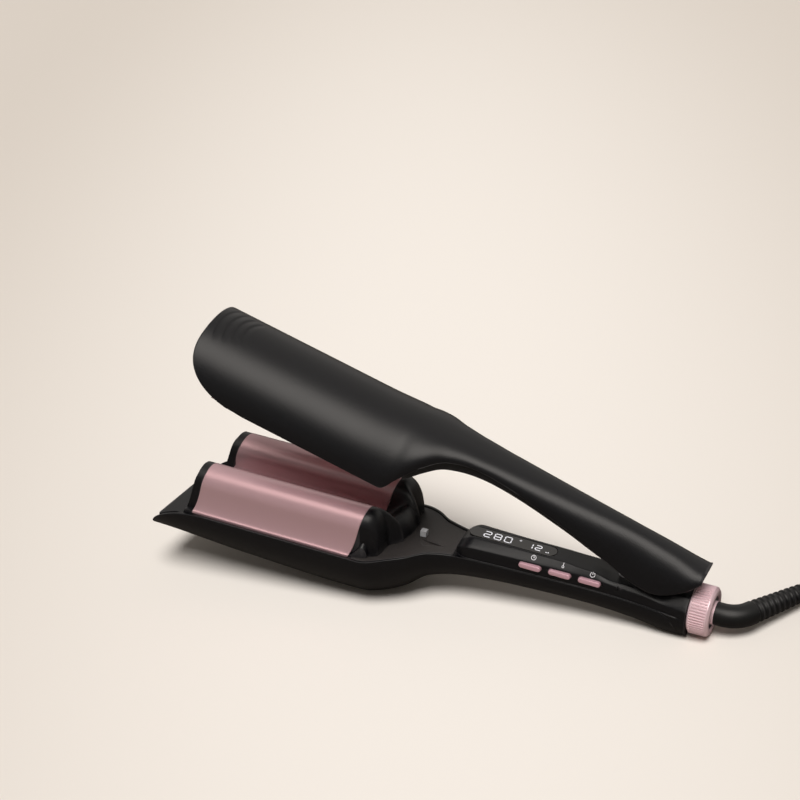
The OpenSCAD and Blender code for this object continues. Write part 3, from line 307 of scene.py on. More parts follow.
COIL_HEADING = math.atan2(6, 4)
COIL_WAY = Vector((math.cos(COIL_HEADING), math.sin(COIL_HEADING), 0))
TIE_TOP = CORD_REST + COIL_PITCH + CORD_RADIUS + 0.3
TIE_WIDTH, TIE_WALL = 9, 0.8
PLUG_AXIS = TIE_TOP + TIE_WALL + 9 + 0.4
boot_end = boot_at(BOOT_LENGTH)
lead = [Vector((boot_end.x + x, boot_end.y + y, mix(boot_end.z, CORD_REST, f))) for x, y, f in LEAD_ROUTE]
coil_start_angle = COIL_HEADING + math.pi / 2
coil_centre = lead[-1] - COIL_OUTER * Vector((math.cos(coil_start_angle), math.sin(coil_start_angle), 0))


def coil_at(t):
    """The coil after t turns: a spiral in, half a turn that climbs, and a spiral out."""
    u = t - COIL_LOOPS
    if u < 0:
        radius = COIL_OUTER - COIL_PITCH * t
    elif u < 0.5:
        radius = COIL_INNER - COIL_PITCH * (u - 2 * u * u)
    else:
        radius = COIL_INNER + COIL_PITCH * (u - 0.5)
    angle = coil_start_angle - 2 * math.pi * t
    height = COIL_PITCH * ease(2 * u)
    return coil_centre + Vector((radius * math.cos(angle), radius * math.sin(angle), height))


coil = [coil_at(i / 24) + COIL_WAY * 2 * CORD_RADIUS for i in range(int(COIL_TURNS * 24) + 1)]
coil_end = coil[-1] - COIL_WAY * 2 * CORD_RADIUS
tail = [Vector((coil_end.x + x, coil_end.y + y, mix(coil_end.z, PLUG_AXIS, f))) for x, y, f in TAIL_ROUTE]
route = lead + coil + tail
route_length = sum((b - a).length for a, b in zip(route, route[1:]))
print("cord:", round(route_length), "mm from the boot to the plug")

# %% [markdown]
# ## Light and floor
# The tool lies on a cream sheet under one large soft light, high up and a little towards
# the camera. A sun lamp with a wide angle lights the sheet evenly. It is hidden from glossy
# surfaces. What shines along the dome is a soft patch of the room, with a fainter one beside
# it. The room behind the tool is brighter than the room behind the camera, which keeps the
# near sides deep black.

# %% A socket that ordinary sums can be done with, and a tree that makes nodes
class Wire:
    """An output of a node. A sum on it adds Math nodes to its tree."""

    def __init__(self, tree, socket):
        self.tree, self.socket = tree, socket

    def maths(self, operation, *others):
        return self.tree.add("ShaderNodeMath", self, *others, operation=operation)

    def __add__(self, other):
        return self.maths("ADD", other)

    def __sub__(self, other):
        return self.maths("SUBTRACT", other)

    def __mul__(self, other):
        return self.maths("MULTIPLY", other)

    def __truediv__(self, other):
        return self.maths("DIVIDE", other)

    def __pow__(self, other):
        return self.maths("POWER", other)

    def __rsub__(self, other):
        return self.tree.add("ShaderNodeMath", other, self, operation="SUBTRACT")

    __radd__, __rmul__ = __add__, __mul__

    def ramp(self, low, high):
        """0 below low, 1 above high, smooth between."""
        return self.tree.add("ShaderNodeMapRange", self, low, high, 0.0, 1.0, interpolation_type="SMOOTHSTEP")


class Tree:
    """A node tree that is filled one line at a time."""

    def __init__(self, tree):
        self.tree = tree

    def add(self, kind, *values, pick=None, **settings):
        node = self.tree.nodes.new(kind)
        for name, value in settings.items():
            setattr(node, name, value)
        for socket, value in zip([s for s in node.inputs if s.enabled], values):
            self.feed(socket, value)
        live = [s for s in node.outputs if s.enabled]
        return Wire(self, node.outputs[pick] if pick else live[0] if live else None)

    def feed(self, socket, value):
        if isinstance(value, Wire):
            self.tree.links.new(value.socket, socket)
        elif value is not None:
            socket.default_value = value

    def blend(self, factor, first, second):
        return self.add("ShaderNodeMix", factor, first, second, data_type="RGBA")


def tint(code):
    """A colour written as on a web page, as the linear light that Blender mixes."""
    parts = [int(code[i:i + 2], 16) / 255 for i in (1, 3, 5)]
    return tuple(p / 12.92 if p <= 0.04045 else ((p + 0.055) / 1.055) ** 2.4 for p in parts) + (1.0,)


# %% The room, as glossy surfaces see it and as it lights the rest
ROOM_FILL = 0.17
ROOM_BACK, ROOM_FRONT = 0.5, 0.16
SOFT_BOX, SOFT_BOX_POWER = (0.28, -0.45, 0.85), 3.6
SOFT_GLOW, SOFT_GLOW_POWER = (-0.25, -0.28, 0.93), 0.35
ROOM_CREAM = tint("#fbf5ee")
world = bpy.data.worlds.new("room")
bpy.context.scene.world = world
world.use_nodes = True
world.node_tree.nodes.clear()
room = Tree(world.node_tree)
way = room.add("ShaderNodeTexCoord", pick="Generated")


def toward(direction):
    return room.add("ShaderNodeVectorMath", way, tuple(Vector(direction).normalized()), operation="DOT_PRODUCT")


aside = room.add("ShaderNodeSeparateXYZ", way, pick="Y")
mirrored = (aside.ramp(-0.7, 0.7) * (ROOM_BACK - ROOM_FRONT) + ROOM_FRONT
            + toward(SOFT_BOX).ramp(0.84, 0.975) * SOFT_BOX_POWER
            + toward(SOFT_GLOW).ramp(0.82, 0.98) * SOFT_GLOW_POWER)
glossy = room.add("ShaderNodeLightPath", pick="Is Glossy Ray")
lit = room.add("ShaderNodeBackground", ROOM_CREAM, glossy * (mirrored - ROOM_FILL) + ROOM_FILL)
room.add("ShaderNodeOutputWorld", lit)

# %% The light and the floor
LIGHT_WAY = Vector((0.16, -0.42, 0.89))
LIGHT_POWER = 3.15
LIGHT_ANGLE = math.radians(30)
FLOOR_SIZE = 12
PICTURE_MIDDLE = Vector((-0.017, 0.117, 0))
sun = bpy.data.lights.new("soft_light", "SUN")
sun.energy = LIGHT_POWER
sun.angle = LIGHT_ANGLE
lamp = add_object("soft_light", sun)
lamp.visible_glossy = False
lamp.matrix_world = LIGHT_WAY.to_track_quat("Z", "Y").to_matrix().to_4x4()

cream = bpy.data.materials.new("cream_sheet")
cream.use_nodes = True
sheet = Tree(cream.node_tree)
shader = cream.node_tree.nodes["Principled BSDF"]
fibre = sheet.add("ShaderNodeTexNoise", sheet.add("ShaderNodeTexCoord", pick="Object"), None, 900.0, 2.0)
paper_and_falloff = sheet.blend(fibre.ramp(0.3, 0.7), tint("#f1e9e0"), tint("#f2eae1"))
place = sheet.add("ShaderNodeTexCoord", pick="Object")


def from_middle(direction, reach):
    """How far the sheet lies from the picture's middle in one direction, as a share of a reach."""
    along = sheet.add("ShaderNodeVectorMath", place, direction, operation="DOT_PRODUCT")
    return (along - PICTURE_MIDDLE.dot(Vector(direction))) / reach


across_picture = from_middle((0.907, 0.421, 0), 0.25)
into_picture = from_middle((-0.473, 0.881, 0), 0.9)
away = (across_picture ** 2 + into_picture ** 2) ** 0.5
# The sheet is painted darker away from the picture's middle, towards #d6ccc1: a painted falloff of light.
paper_and_falloff = sheet.blend(away.ramp(0.1, 1.9), paper_and_falloff, tint("#d6ccc1"))
# In glossy rays the sheet turns dark brown (#5e5751): painted shade in the reflections, which keeps the near sides
# black.
mirrored = sheet.add("ShaderNodeLightPath", pick="Is Glossy Ray")
sheet.feed(shader.inputs["Base Color"], sheet.blend(mirrored, paper_and_falloff, tint("#5e5751")))
shader.inputs["Roughness"].default_value = 0.9
shader.inputs["Specular IOR Level"].default_value = 0.1
half_floor = FLOOR_SIZE / 2
floor_mesh = bpy.data.meshes.new("floor")
floor_mesh.from_pydata([(-half_floor, -half_floor, 0), (half_floor, -half_floor, 0), (half_floor, half_floor, 0),
                        (-half_floor, half_floor, 0)], [], [(0, 1, 2, 3)])
floor = add_object("floor", floor_mesh)
floor.data.materials.append(cream)

# %% [markdown]
# ## Finishes
# Real satin plastic isn't one flat black. It carries a fine spark-eroded grain from the mould and faint
# smudges that change its gloss. Its edges are painted a little paler, a painted highlight where a real edge catches
# light.
# The plates are brushed along their length before they are coated rose. Each finish is a
# few noise textures on Object coordinates, so it sits still on the piece when an arm
# moves.

# %% What every finish shares
finishes = {}


class Finish(Tree):
    """A material under construction, with its shader's fixed numbers set on their sockets."""

    def __init__(self, name, **fixed):
        self.material = bpy.data.materials.new(name)
        self.material.use_nodes = True
        super().__init__(self.material.node_tree)
        self.shader = self.material.node_tree.nodes["Principled BSDF"]
        for socket, value in fixed.items():
            self.shader.inputs[socket.replace("_", " ")].default_value = value
        self.place = self.add("ShaderNodeTexCoord", pick="Object")
        finishes[name] = self.material

    def noise(self, per_metre, detail=3.0, stretch=(1, 1, 1)):
        place = self.place
        if stretch != (1, 1, 1):
            place = self.add("ShaderNodeMapping", place, (0, 0, 0), (0, TILT, 0), stretch)
        return self.add("ShaderNodeTexNoise", place, None, per_metre, detail, pick="Fac")

    def edges(self, low=0.515, high=0.56):
        return self.add("ShaderNodeNewGeometry", pick="Pointiness").ramp(low, high)

    def colour(self, value):
        self.feed(self.shader.inputs["Base Color"], value)

    def rough(self, value):
        self.feed(self.shader.inputs["Roughness"], value)

    def bump(self, height, depth):
        self.feed(self.shader.inputs["Normal"], self.add("ShaderNodeBump", 1.0, depth, None, height))


def grained(name, dark, light, rough, spread, grain_per_metre, grain_depth, **fixed):
    """Moulded plastic: smudges in colour and gloss, a fine grain, and edges painted paler as a highlight."""
    made = Finish(name, **fixed)
    smudge = made.noise(38, 4.0).ramp(0.35, 0.68)
    grain = made.noise(grain_per_metre, 2.0)
    body = made.blend(smudge, tint(dark), tint(light))
    # Pointed edges are painted paler, towards #4a4748: a painted highlight.
    edge_highlight = made.edges() * 0.35
    made.colour(made.blend(edge_highlight, body, tint("#4a4748")))
    made.rough(smudge * spread + grain * (spread / 2) + (rough - spread / 2))
    made.bump(grain, grain_depth)
    return made


# %% Plastics
grained("satin_black", "#08080a", "#0d0d10", 0.36, 0.05, 2600, 0.00002, Specular_IOR_Level=0.5)
grained("neck_grey", "#2b2827", "#322e2c", 0.5, 0.08, 3200, 0.00004, Specular_IOR_Level=0.45)
grained("dark_plastic", "#141415", "#1b1a1b", 0.48, 0.08, 2400, 0.00003, Specular_IOR_Level=0.4)
grained("pale_plastic", "#cfcfd0", "#e2e2e2", 0.4, 0.08, 2400, 0.00002)
grained("cord_rubber", "#0b0b0b", "#121212", 0.42, 0.1, 1900, 0.00003, Specular_IOR_Level=0.42)
grained("boot_rubber", "#0b0b0b", "#111111", 0.36, 0.08, 2200, 0.00002, Specular_IOR_Level=0.45)
print("finishes:", sorted(finishes))

# %% Coated metal
def brushed(name, deep, pale, rough, lines, depth, **fixed):
    """Brushed metal under a coat: long scratches one way, and soft clouds across them."""
    made = Finish(name, **fixed)
    scratch = made.noise(2400, 2.0, lines)
    cloud = made.noise(60, 3.0).ramp(0.3, 0.7)
    shade = scratch.ramp(0.3, 0.75) * 0.5 + cloud * 0.4
    made.colour(made.blend(shade, tint(deep), tint(pale)))
    made.rough(scratch * 0.1 + cloud * 0.06 + (rough - 0.08))
    made.bump(scratch, depth)
    return made


brushed("rose_plate", "#c8a0a4", "#d8b4b8", 0.31, (0.02, 1, 1), 0.000006, Metallic=0.55)
brushed("ring_metal", "#e0bcc1", "#f0d6da", 0.32, (0.1, 1, 1), 0.000006, Metallic=0.4)
brushed("button_pink", "#bd929b", "#d0a7af", 0.4, (0.3, 1, 1), 0.000006, Metallic=0.3)
brushed("steel", "#9c9c9e", "#bcbcbe", 0.3, (1, 1, 0.2), 0.000008, Metallic=1.0)

# %% Inside parts and the display
ceramic = Finish("heater_ceramic")
speck = ceramic.noise(900, 3.0).ramp(0.55, 0.7)
ceramic.colour(ceramic.blend(speck, tint("#dcd8cc"), tint("#b3aa98")))
ceramic.rough(speck * 0.15 + 0.6)
ceramic.bump(speck, 0.00005)

board = Finish("board")
track = board.add("ShaderNodeTexBrick", board.place, tint("#1d6a45"), tint("#1a5f3e"), tint("#0f3c28"), 420.0, 0.06,
                  pick="Color")
board.colour(board.blend(board.noise(700).ramp(0.6, 0.66), track, tint("#c9a24a")))
board.rough(board.noise(300) * 0.2 + 0.35)

glass = Finish("display_black", Coat_Roughness=0.05, Specular_IOR_Level=0.5)
haze = glass.noise(120, 4.0).ramp(0.4, 0.7)
glass.colour(glass.blend(haze, tint("#151312"), tint("#1c1918")))
glass.rough(haze * 0.08 + 0.16)
glass.feed(glass.shader.inputs["Coat Weight"], 1.0 - haze * 0.3)
glass.bump(glass.noise(500, 2.0), 0.000004)

glow = Finish("digit_light", Emission_Strength=1.0)
flicker = glow.noise(1500, 1.0).ramp(0.2, 0.8)
glow.feed(glow.shader.inputs["Emission Color"], glow.blend(flicker, tint("#d9d6da"), tint("#f4f2f5")))
glow.colour(glow.blend(flicker, tint("#4a4a4c"), tint("#58585a")))
glow.rough(flicker * 0.1 + 0.4)

ink = Finish("printed_white")
ink_grain = ink.noise(2500, 2.0).ramp(0.25, 0.6)
ink.colour(ink.blend(ink_grain, tint("#c9c4c6"), tint("#e6e3e5")))
ink.rough(ink_grain * 0.1 + 0.5)

# %% [markdown]
# ## The two shells
# Each shell is lofted: one outline is worked out at every station along the arm, and
# faces join it to the next. That beats carving a block, because the width, the edge and
# the top of the real shell each follow their own long curve. The rim's front corner is
# swept back by moving every point of an outline along x, the further the nearer it is to
# the rim. Bevels on the sharp edges catch the light as a moulded edge does.

# %% Outlines of the shells
SKEW_END = CORNER_LENGTH + 20
SEAM_TURN = ARM_LENGTH - 15
SHELL_REAR = ARM_LENGTH - 2
BORE = 9.2


def corner(drop):
    q = 1 - clamp(drop / CORNER_HEIGHT)
    return CORNER_LENGTH * (1 - math.sqrt(1 - q * q))


def skewed(x, start, drop):
    """x, moved back near the rim's front corner."""
    front, end = start + corner(drop), start + SKEW_END
    return x if x >= end else mix(front, end, (x - start) / SKEW_END)


def seam_angle(x):
    """How far round the section the seam has come down, near the ring."""
    t = clamp((x - SEAM_TURN) / (SHELL_REAR - SEAM_TURN))
    return math.radians(78) * (1 - math.sqrt(1 - t * t))


def lower_point(x, angle, inset):
    half = curve(LOWER_WIDTH, x) - inset
    rim = curve(LOWER_RIM_LINE, x)
    drop = (rim - lower_bottom(x) - inset) * math.sin(angle)
    y = half * math.cos(angle)
    return (skewed(x, 0, drop) + slant(x, y), y, rim - drop)


def lower_arc(x, inset, count=56):
    first = seam_angle(x)
    return [lower_point(x, mix(first, math.pi - first, k / count), inset) for k in range(count + 1)]


def bent(value, power):
    return math.copysign(abs(value) ** (2 / power), value)


def upper_arc(x, inset, count=96):
    """The dome is elliptical, and the grip that follows it is a little squarer."""
    half = curve(UPPER_WIDTH, x) - inset
    low = curve(UPPER_EDGE, x)
    rise = curve(UPPER_TOP, x) - low - inset
    power = mix(2, 2.4, ease((x - DOME_REAR) / 40))
    arc = []
    for k in range(count + 1):
        angle = math.pi * k / count
        z = rise * bent(math.sin(angle), power)
        arc.append((skewed(x, UPPER_SETBACK, z), half * bent(math.cos(angle), power), low + z))
    return arc


# %% The lean of the jaws' ends
LEAN_BACK, LEAN_ASIDE, LEAN_FOOT = 7.5, 0.1, -2.2


def lean(y, z):
    """How far to the rear the plates' ends lie: more at the crests, and more on the far side."""
    return LEAN_FOOT + LEAN_BACK * clamp((z - LOWER_RIM) / 28) ** 0.7 + LEAN_ASIDE * max(0, y + 18)


def leaning(points):
    return [(x + lean(y, z), y, z) for x, y, z in points]


def slant(x, y):
    """The lower lip is set back a little on its far side."""
    return LEAN_ASIDE * (y + HALF) * clamp(1 - x / (SKEW_END + 30))


# %% Helpers that give a piece its edges, its finish and its place in the frame
def soften(obj, width, segments=3, angle=38):
    bevel = obj.modifiers.new("soft_edges", "BEVEL")
    bevel.width = width * MM
    bevel.segments = segments
    bevel.limit_method = "ANGLE"
    bevel.angle_limit = math.radians(angle)
    bevel.use_clamp_overlap = False
    bevel.harden_normals = False
    return obj


def applied(obj):
    """Turns an object with modifiers into a plain mesh."""
    mesh = bpy.data.meshes.new_from_object(obj.evaluated_get(bpy.context.evaluated_depsgraph_get()))
    obj.modifiers.clear()
    obj.data = mesh
    return obj


def carve(obj, cutters, operation="DIFFERENCE"):
    for cutter in cutters:
        cut = obj.modifiers.new(cutter.name, "BOOLEAN")
        cut.object = cutter
        cut.operation = operation
        cut.solver = "EXACT"
    bpy.context.view_layer.update()
    applied(obj)
    for cutter in cutters:
        bpy.data.objects.remove(cutter)
    return obj


def fit_out(obj, body, finish, *nodes, slot=None):
    """Gives a piece its finish, puts it on its body, and lets it stand for its CAD nodes."""
    obj.data.materials.clear()
    obj.data.materials.append(finishes[finish])
    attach(obj, body)
    if nodes:
        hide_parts(*nodes)
    return obj


def on_table(point):
    """Rests on the surface: what would lie below it is the flat of a foot."""
    place = lay(point)
    return Vector((place.x, place.y, max(place.z, 0.0)))


# %% Lower shell
lower_stations = (steps(0, SKEW_END, 34) + steps(62, 136, 18) + steps(138, 200, 34)
                  + steps(203, SEAM_TURN, 26) + steps(SEAM_TURN + 0.6, SHELL_REAR, 16))
lower_shell = skin("lower_shell_skin", [(lower_arc(x, 0), lower_arc(x, WALL)) for x in lower_stations], on_table)
fit_out(soften(lower_shell, 0.6), "lower_arm", "satin_black", "lower_shell")
print("lower shell:", len(lower_shell.data.polygons), "faces")

# %% Finger grooves near the tip of the dome: place along the arm, bow, and half length across
GROOVES = [(24.6, 0.0110, 17), (29.9, 0.0120, 16), (34.9, 0.0170, 14), (39.8, 0.0220, 12)]
GROOVE_DEPTH, GROOVE_LENGTH = 0.5, 4.2


def groove_depth(x, y):
    """Each groove has a steep front and runs out gently to the rear."""
    depth = 0.0
    for middle, bow, reach in GROOVES:
        along = x - middle - bow * y * y
        if -0.5 < along < GROOVE_LENGTH:
            shape = ease((along + 0.5) / 0.9) * (1 - ease(along / GROOVE_LENGTH))
            depth = max(depth, GROOVE_DEPTH * shape * (1 - ease((abs(y - 1.5) - reach + 6) / 8)))
    return depth


def upper_outside(x):
    arc = []
    for px, py, pz in upper_arc(x, 0):
        depth = groove_depth(px, py) if px < UPPER_SETBACK + 40 else 0.0
        shrink = 1 - depth / UPPER_DOME
        arc.append((px, py * shrink, UPPER_RIM + (pz - UPPER_RIM) * shrink))
    return arc


# %% Upper shell
UPPER_LENGTH = ARM_LENGTH + 2.5
upper_stations = (steps(UPPER_SETBACK, 52, 78) + steps(54, 81, 14) + steps(84, 134, 14)
                  + steps(136, 200, 44) + steps(203, UPPER_LENGTH - 2.2, 40))


def lidded(x):
    """The inside of the shell where its end wall closes it."""
    low = curve(UPPER_EDGE, x)
    return [(p[0], p[1], low + (p[2] - low) * 0.02) for p in upper_arc(x, WALL)]


upper_pairs = [(upper_outside(x), upper_arc(x, WALL)) for x in upper_stations]
upper_pairs += [(upper_outside(x), lidded(x)) for x in steps(UPPER_LENGTH - 2, UPPER_LENGTH, 4)]
upper_shell = skin("upper_shell_skin", upper_pairs, lift)
fit_out(soften(upper_shell, 0.5), "upper_arm", "satin_black", "upper_shell")
print("upper shell:", len(upper_shell.data.polygons), "faces")

# %% [markdown]
# ## Wave plates and end caps
# Both plates follow one wave of true arcs, and the upper one is the same wave grown
# outwards by the hair gap, so the two nest when the jaws close. The end caps take over
# the wave at a plate's end and let it run out to the lip or down to the neck.

# %% The wave
HUMP_REACH = HALF - 5.4
HUMP_R = 0.348 * HUMP_REACH
HUMP_Y = HUMP_REACH - HUMP_R
HUMP_Z = CREST_HEIGHT - HUMP_R
VALLEY_R = HUMP_Y - HUMP_R
VALLEY_Z = VALLEY_HEIGHT + VALLEY_R
FOOT_Y = HUMP_Y + HUMP_R + EDGE_CURL
FOOT_Z = LOWER_RIM + 0.8
FLARE_HEIGHT = 13


def arc_points(y, z, radius, start, end, count=20, tall=None):
    return [(y + dy, z + dz) for dy, dz in [polar(a, radius, tall) for a in steps(start, end, count)]]


def full_wave(half):
    return [(-y, z) for y, z in half[:0:-1]] + half


def lower_wave(grow):
    flare = arc_points(FOOT_Y, FOOT_Z + FLARE_HEIGHT, grow - EDGE_CURL, 0, 90, 16, grow - FLARE_HEIGHT)
    return full_wave(arc_points(0, VALLEY_Z, VALLEY_R - grow, -90, 0)
                     + arc_points(HUMP_Y, HUMP_Z, HUMP_R + grow, 180, 0) + flare)


def upper_wave(grow):
    half = arc_points(0, VALLEY_Z, VALLEY_R - grow, -90, 0) + arc_points(HUMP_Y, HUMP_Z, HUMP_R + grow, 180, 0)
    return full_wave(half + [(HUMP_Y + HUMP_R + grow, UPPER_RIM + 0.4)])


def wave_at(y, grow):
    y = abs(y)
    valley, hump = VALLEY_R - grow, HUMP_R + grow
    if y < valley:
        return VALLEY_Z - math.sqrt(max(0, valley * valley - y * y))
    if y < HUMP_Y + hump:
        return HUMP_Z + hump * math.sqrt(max(0, 1 - min(1, abs(y - HUMP_Y) / hump) ** 2))
    return FOOT_Z + 0.1


def at(x, outline):
    return [(x, y, z) for y, z in outline]


# %% Plates
plate_x = steps(LIP_REACH, PLATE_REAR, 12)
lower_plate = skin("lower_plate_wave", [(leaning(at(x, lower_wave(0))), leaning(at(x, lower_wave(-PLATE_THICKNESS))))
                                        for x in plate_x], lay)
fit_out(soften(lower_plate, 0.3, 2), "lower_arm", "rose_plate", "lower_plate")
upper_x = steps(UPPER_PLATE_FRONT, PLATE_REAR, 12)
upper_plate = skin("upper_plate_wave", [(at(x, upper_wave(HAIR_GAP)), at(x, upper_wave(HAIR_GAP + PLATE_THICKNESS)))
                                        for x in upper_x], lift)
fit_out(soften(upper_plate, 0.3, 2), "upper_arm", "rose_plate", "upper_plate")

# %% Surfaces that the caps lie between
CAP_FIT = 0.1
CAP_STEPS = 88
CAP_HALF = HALF - WALL - FIT
THINNEST = 0.8


def lower_inside(x, y):
    half = curve(LOWER_WIDTH, x) - WALL - FIT
    rim = curve(LOWER_RIM_LINE, x)
    depth = rim - lower_bottom(x) - WALL - FIT
    return rim - depth * math.sqrt(max(0, 1 - (y / half) ** 2))


def upper_inside(x, y):
    half = curve(UPPER_WIDTH, x) - WALL - FIT
    low = curve(UPPER_EDGE, x)
    power = mix(2, 2.4, ease((x - DOME_REAR) / 40))
    rise = curve(UPPER_TOP, x) - WALL - FIT - low
    return low + rise * max(0, 1 - (abs(y) / half) ** power) ** (1 / power)


def across(half):
    return [(half - 0.2) * math.sin(math.radians(90 * (1 - 2 * k / CAP_STEPS))) for k in range(CAP_STEPS + 1)]


# %% Front caps
SHELF_FRONT, SHELF_DEPTH, BAND_WIDTH = 9, 8.4, 4.6


def lower_front(t):
    """A shelf from the lip, then a steep face up to a band along the plate's front end."""
    below, above = [], []
    for y in across(CAP_HALF):
        wave = wave_at(y, -CAP_FIT)
        drop = LOWER_RIM - lower_inside(LIP_REACH / 2, y)
        start = max(SHELF_FRONT, corner(drop) + 0.6) + slant(0, y)
        end = LIP_REACH + lean(y, wave) - CAP_FIT
        x = mix(start, end, t)
        low = lower_inside(x, y)
        rise = clamp(1 - (end - BAND_WIDTH - x) / 15) ** 5
        shelf = LOWER_RIM - SHELF_DEPTH + 3 * t
        below.append((x, y, low))
        above.append((x, y, max(low + THINNEST, mix(shelf, wave, rise))))
    return above, below


lower_front_cap = skin("lower_front_shelf", [lower_front(t) for t in steps(0, 0.4, 10)[:-1] + steps(0.4, 1, 40)], lay,
                       50)
fit_out(lower_front_cap, "lower_arm", "satin_black", "lower_front_cap")


def upper_front(x):
    flare = clamp((x - UPPER_SETBACK - 4) / (UPPER_PLATE_FRONT - UPPER_SETBACK - 9)) ** 2.4
    below, above = [], []
    for y in across(CAP_HALF):
        high = upper_inside(x, y)
        place = min(skewed(x, UPPER_SETBACK, high - UPPER_RIM), UPPER_PLATE_FRONT - CAP_FIT)
        wave = max(wave_at(y, HAIR_GAP), UPPER_RIM + 0.4)
        below.append((place, y, min(high - THINNEST, mix(high - 1.2, wave, flare))))
        above.append((place, y, high))
    return above, below


upper_front_cap = skin("upper_front_scoop", [upper_front(UPPER_SETBACK + 4 + d) for d in steps(0, 30, 40)], lift, 50)
fit_out(upper_front_cap, "upper_arm", "satin_black", "upper_front_cap")

# %% Rear caps
REACH_SIDE, REACH_MIDDLE = 9.6, 22
BARREL_TOP = 15
NECK_RECESS = 0.4
UPPER_CAP_END = DOME_REAR + 8


def neck_level(x):
    return curve(LOWER_RIM_LINE, x) - NECK_RECESS


def lower_rear(s):
    below, above = [], []
    for y in across(FOOT_Y - 0.4):
        wave = wave_at(y, -CAP_FIT)
        reach = mix(REACH_SIDE, REACH_MIDDLE, max(0, 1 - (y / 15) ** 2)) + 0.05 * max(0, y)
        x = PLATE_REAR + lean(y, wave) + CAP_FIT + s * reach
        barrel = BARREL_TOP * (1 - (abs(y) / HALF) ** 3)
        body = mix(wave, max(wave, barrel), ease(s * 1.2))
        top = mix(neck_level(PLATE_REAR), body, (1 - s ** 2.6) ** (1 / 2.6))
        below.append((x, y * (1 - 0.08 * s), neck_level(x) + FIT))
        above.append((x, y * (1 - 0.08 * s), max(neck_level(x) + THINNEST, top)))
    return above, below


rear_steps = [math.sin(math.radians(a)) * 0.99 for a in steps(0, 90, 40)]
lower_rear_cap = skin("lower_rear_body", [lower_rear(s) for s in rear_steps], lay, 50)


def upper_rear(x):
    t = ease((x - PLATE_REAR) / (UPPER_CAP_END - PLATE_REAR))
    below, above = [], []
    for y in across(curve(UPPER_WIDTH, x) - WALL - FIT):
        high = upper_inside(x, y)
        wave = max(wave_at(y, HAIR_GAP), UPPER_RIM + 0.4)
        below.append((x, y, min(high - THINNEST, mix(wave, curve(UPPER_EDGE, x) + 7, t))))
        above.append((x, y, high))
    return above, below


upper_rear_cap = skin("upper_rear_body", [upper_rear(x) for x in steps(PLATE_REAR + CAP_FIT, UPPER_CAP_END, 30)], lift,
                      50)
fit_out(upper_rear_cap, "upper_arm", "satin_black", "upper_rear_cap")

# %% Small cut shapes
def prism(name, outline, low, high, place):
    """A flat outline raised between two heights: the outline is in x and y."""
    return loft(name, [[place((x, y, z)) for x, y in outline] for z in (low, high)])


def pill(length, width, count=24):
    flat = (length - width) / 2
    return arc_points(flat, 0, width / 2, -90, 90, count) + arc_points(-flat, 0, width / 2, 90, 270, count)


# %% Dimple in the far lobe of the rear cap
DIMPLE = (149.4, HUMP_Y + 0.5, 16.5)


def ball(name, centre, radii, place, rows=16, columns=24):
    """A stretched ball without its two poles, closed there by flat caps."""
    turns = [2 * math.pi * j / columns for j in range(columns)]
    heights = [math.pi * (i / rows - 0.5) for i in range(1, rows)]
    x, y, z = centre
    return loft(name, [[place((x + radii[0] * math.cos(up) * math.cos(a), y + radii[1] * math.cos(up) * math.sin(a),
                               z + radii[2] * math.sin(up))) for a in turns] for up in heights])


carve(lower_rear_cap, [ball("dimple", DIMPLE, (1.8, 1.7, 3.2), lay)])
fit_out(lower_rear_cap, "lower_arm", "satin_black", "lower_rear_cap")

# %% Neck cover, with the wedge that the rear cap hooks into
NECK_END = NECK_X + 14
WEDGE = [(158.5, -4.0), (164.7, -9.6), (175.2, -6.9)]
CLIP_X, CLIP_SIZE = NECK_X - 9, 3.4


def neck_pair(x):
    half = curve(LOWER_WIDTH, x) - WALL - FIT - 0.2
    sides = steps(1, -1, 24)
    return [(x, s * half, neck_level(x)) for s in sides], [(x, s * (half - 0.1), neck_level(x) - 1.8) for s in sides]


neck_cover = skin("neck_plate", [neck_pair(x) for x in steps(PLATE_REAR + CAP_FIT, NECK_END, 60)], lay)
hole = CLIP_SIZE / 2 + 0.15
clip_hole = prism("clip_hole", [(CLIP_X + a * hole, b * hole) for a, b in ((-1, -1), (1, -1), (1, 1), (-1, 1))], -6, 8,
                  lay)
carve(neck_cover, [clip_hole, prism("wedge", WEDGE, 0.4, 6, lay)])
fit_out(soften(neck_cover, 0.25, 2), "lower_arm", "neck_grey", "neck_cover", slot="dark_plastic")

# %% [markdown]
# ## Control cover
# The housing on the handle has a flat facet for the display, rounded shoulders, side
# walls with the three buttons, and a low deck under the upper arm. Its outline has only
# seven corners a side. Cutting those corners off three times over turns them into even
# curves, which is quicker to tune than drawing every curve by hand. The lens recess and
# the button windows are cut out with exact booleans, because their edges are sharp. At the
# ring the cover comes down to the surface, so its lowest points are held just above it.

# %% Outlines of the cover
NOSE_X, NOSE_LENGTH = NECK_X + 13, 10
FACET_END = HINGE_X - 45
DECK, TAIL = 9.6, 12.6
COVER_TOP = [(NOSE_X, FACET_HEIGHT - 0.6), (NOSE_X + 12, FACET_HEIGHT), (FACET_END - 4, FACET_HEIGHT),
             (FACET_END + 4, 12.0), (FACET_END + 14, 11.5), (HINGE_X - 20, DECK), (HINGE_X + 6, DECK),
             (HINGE_X + 14, TAIL - 0.6), (ARM_LENGTH, TAIL)]
COVER_FLAT = [(NOSE_X, FACET_HALF), (FACET_END - 4, FACET_HALF), (FACET_END + 8, 6.4), (HINGE_X - 16, 7.2),
              (HINGE_X, 7.4), (HINGE_X + 14, 7), (ARM_LENGTH, 7)]
COVER_WALL = [(NOSE_X, 9), (FACET_END - 4, 9), (FACET_END + 16, 8.9), (HINGE_X - 14, 8), (HINGE_X, 7.6),
              (HINGE_X + 14, 6.6), (ARM_LENGTH, 6.5)]
LEDGE = 0.75
TAIL_CLEAR = 0.8


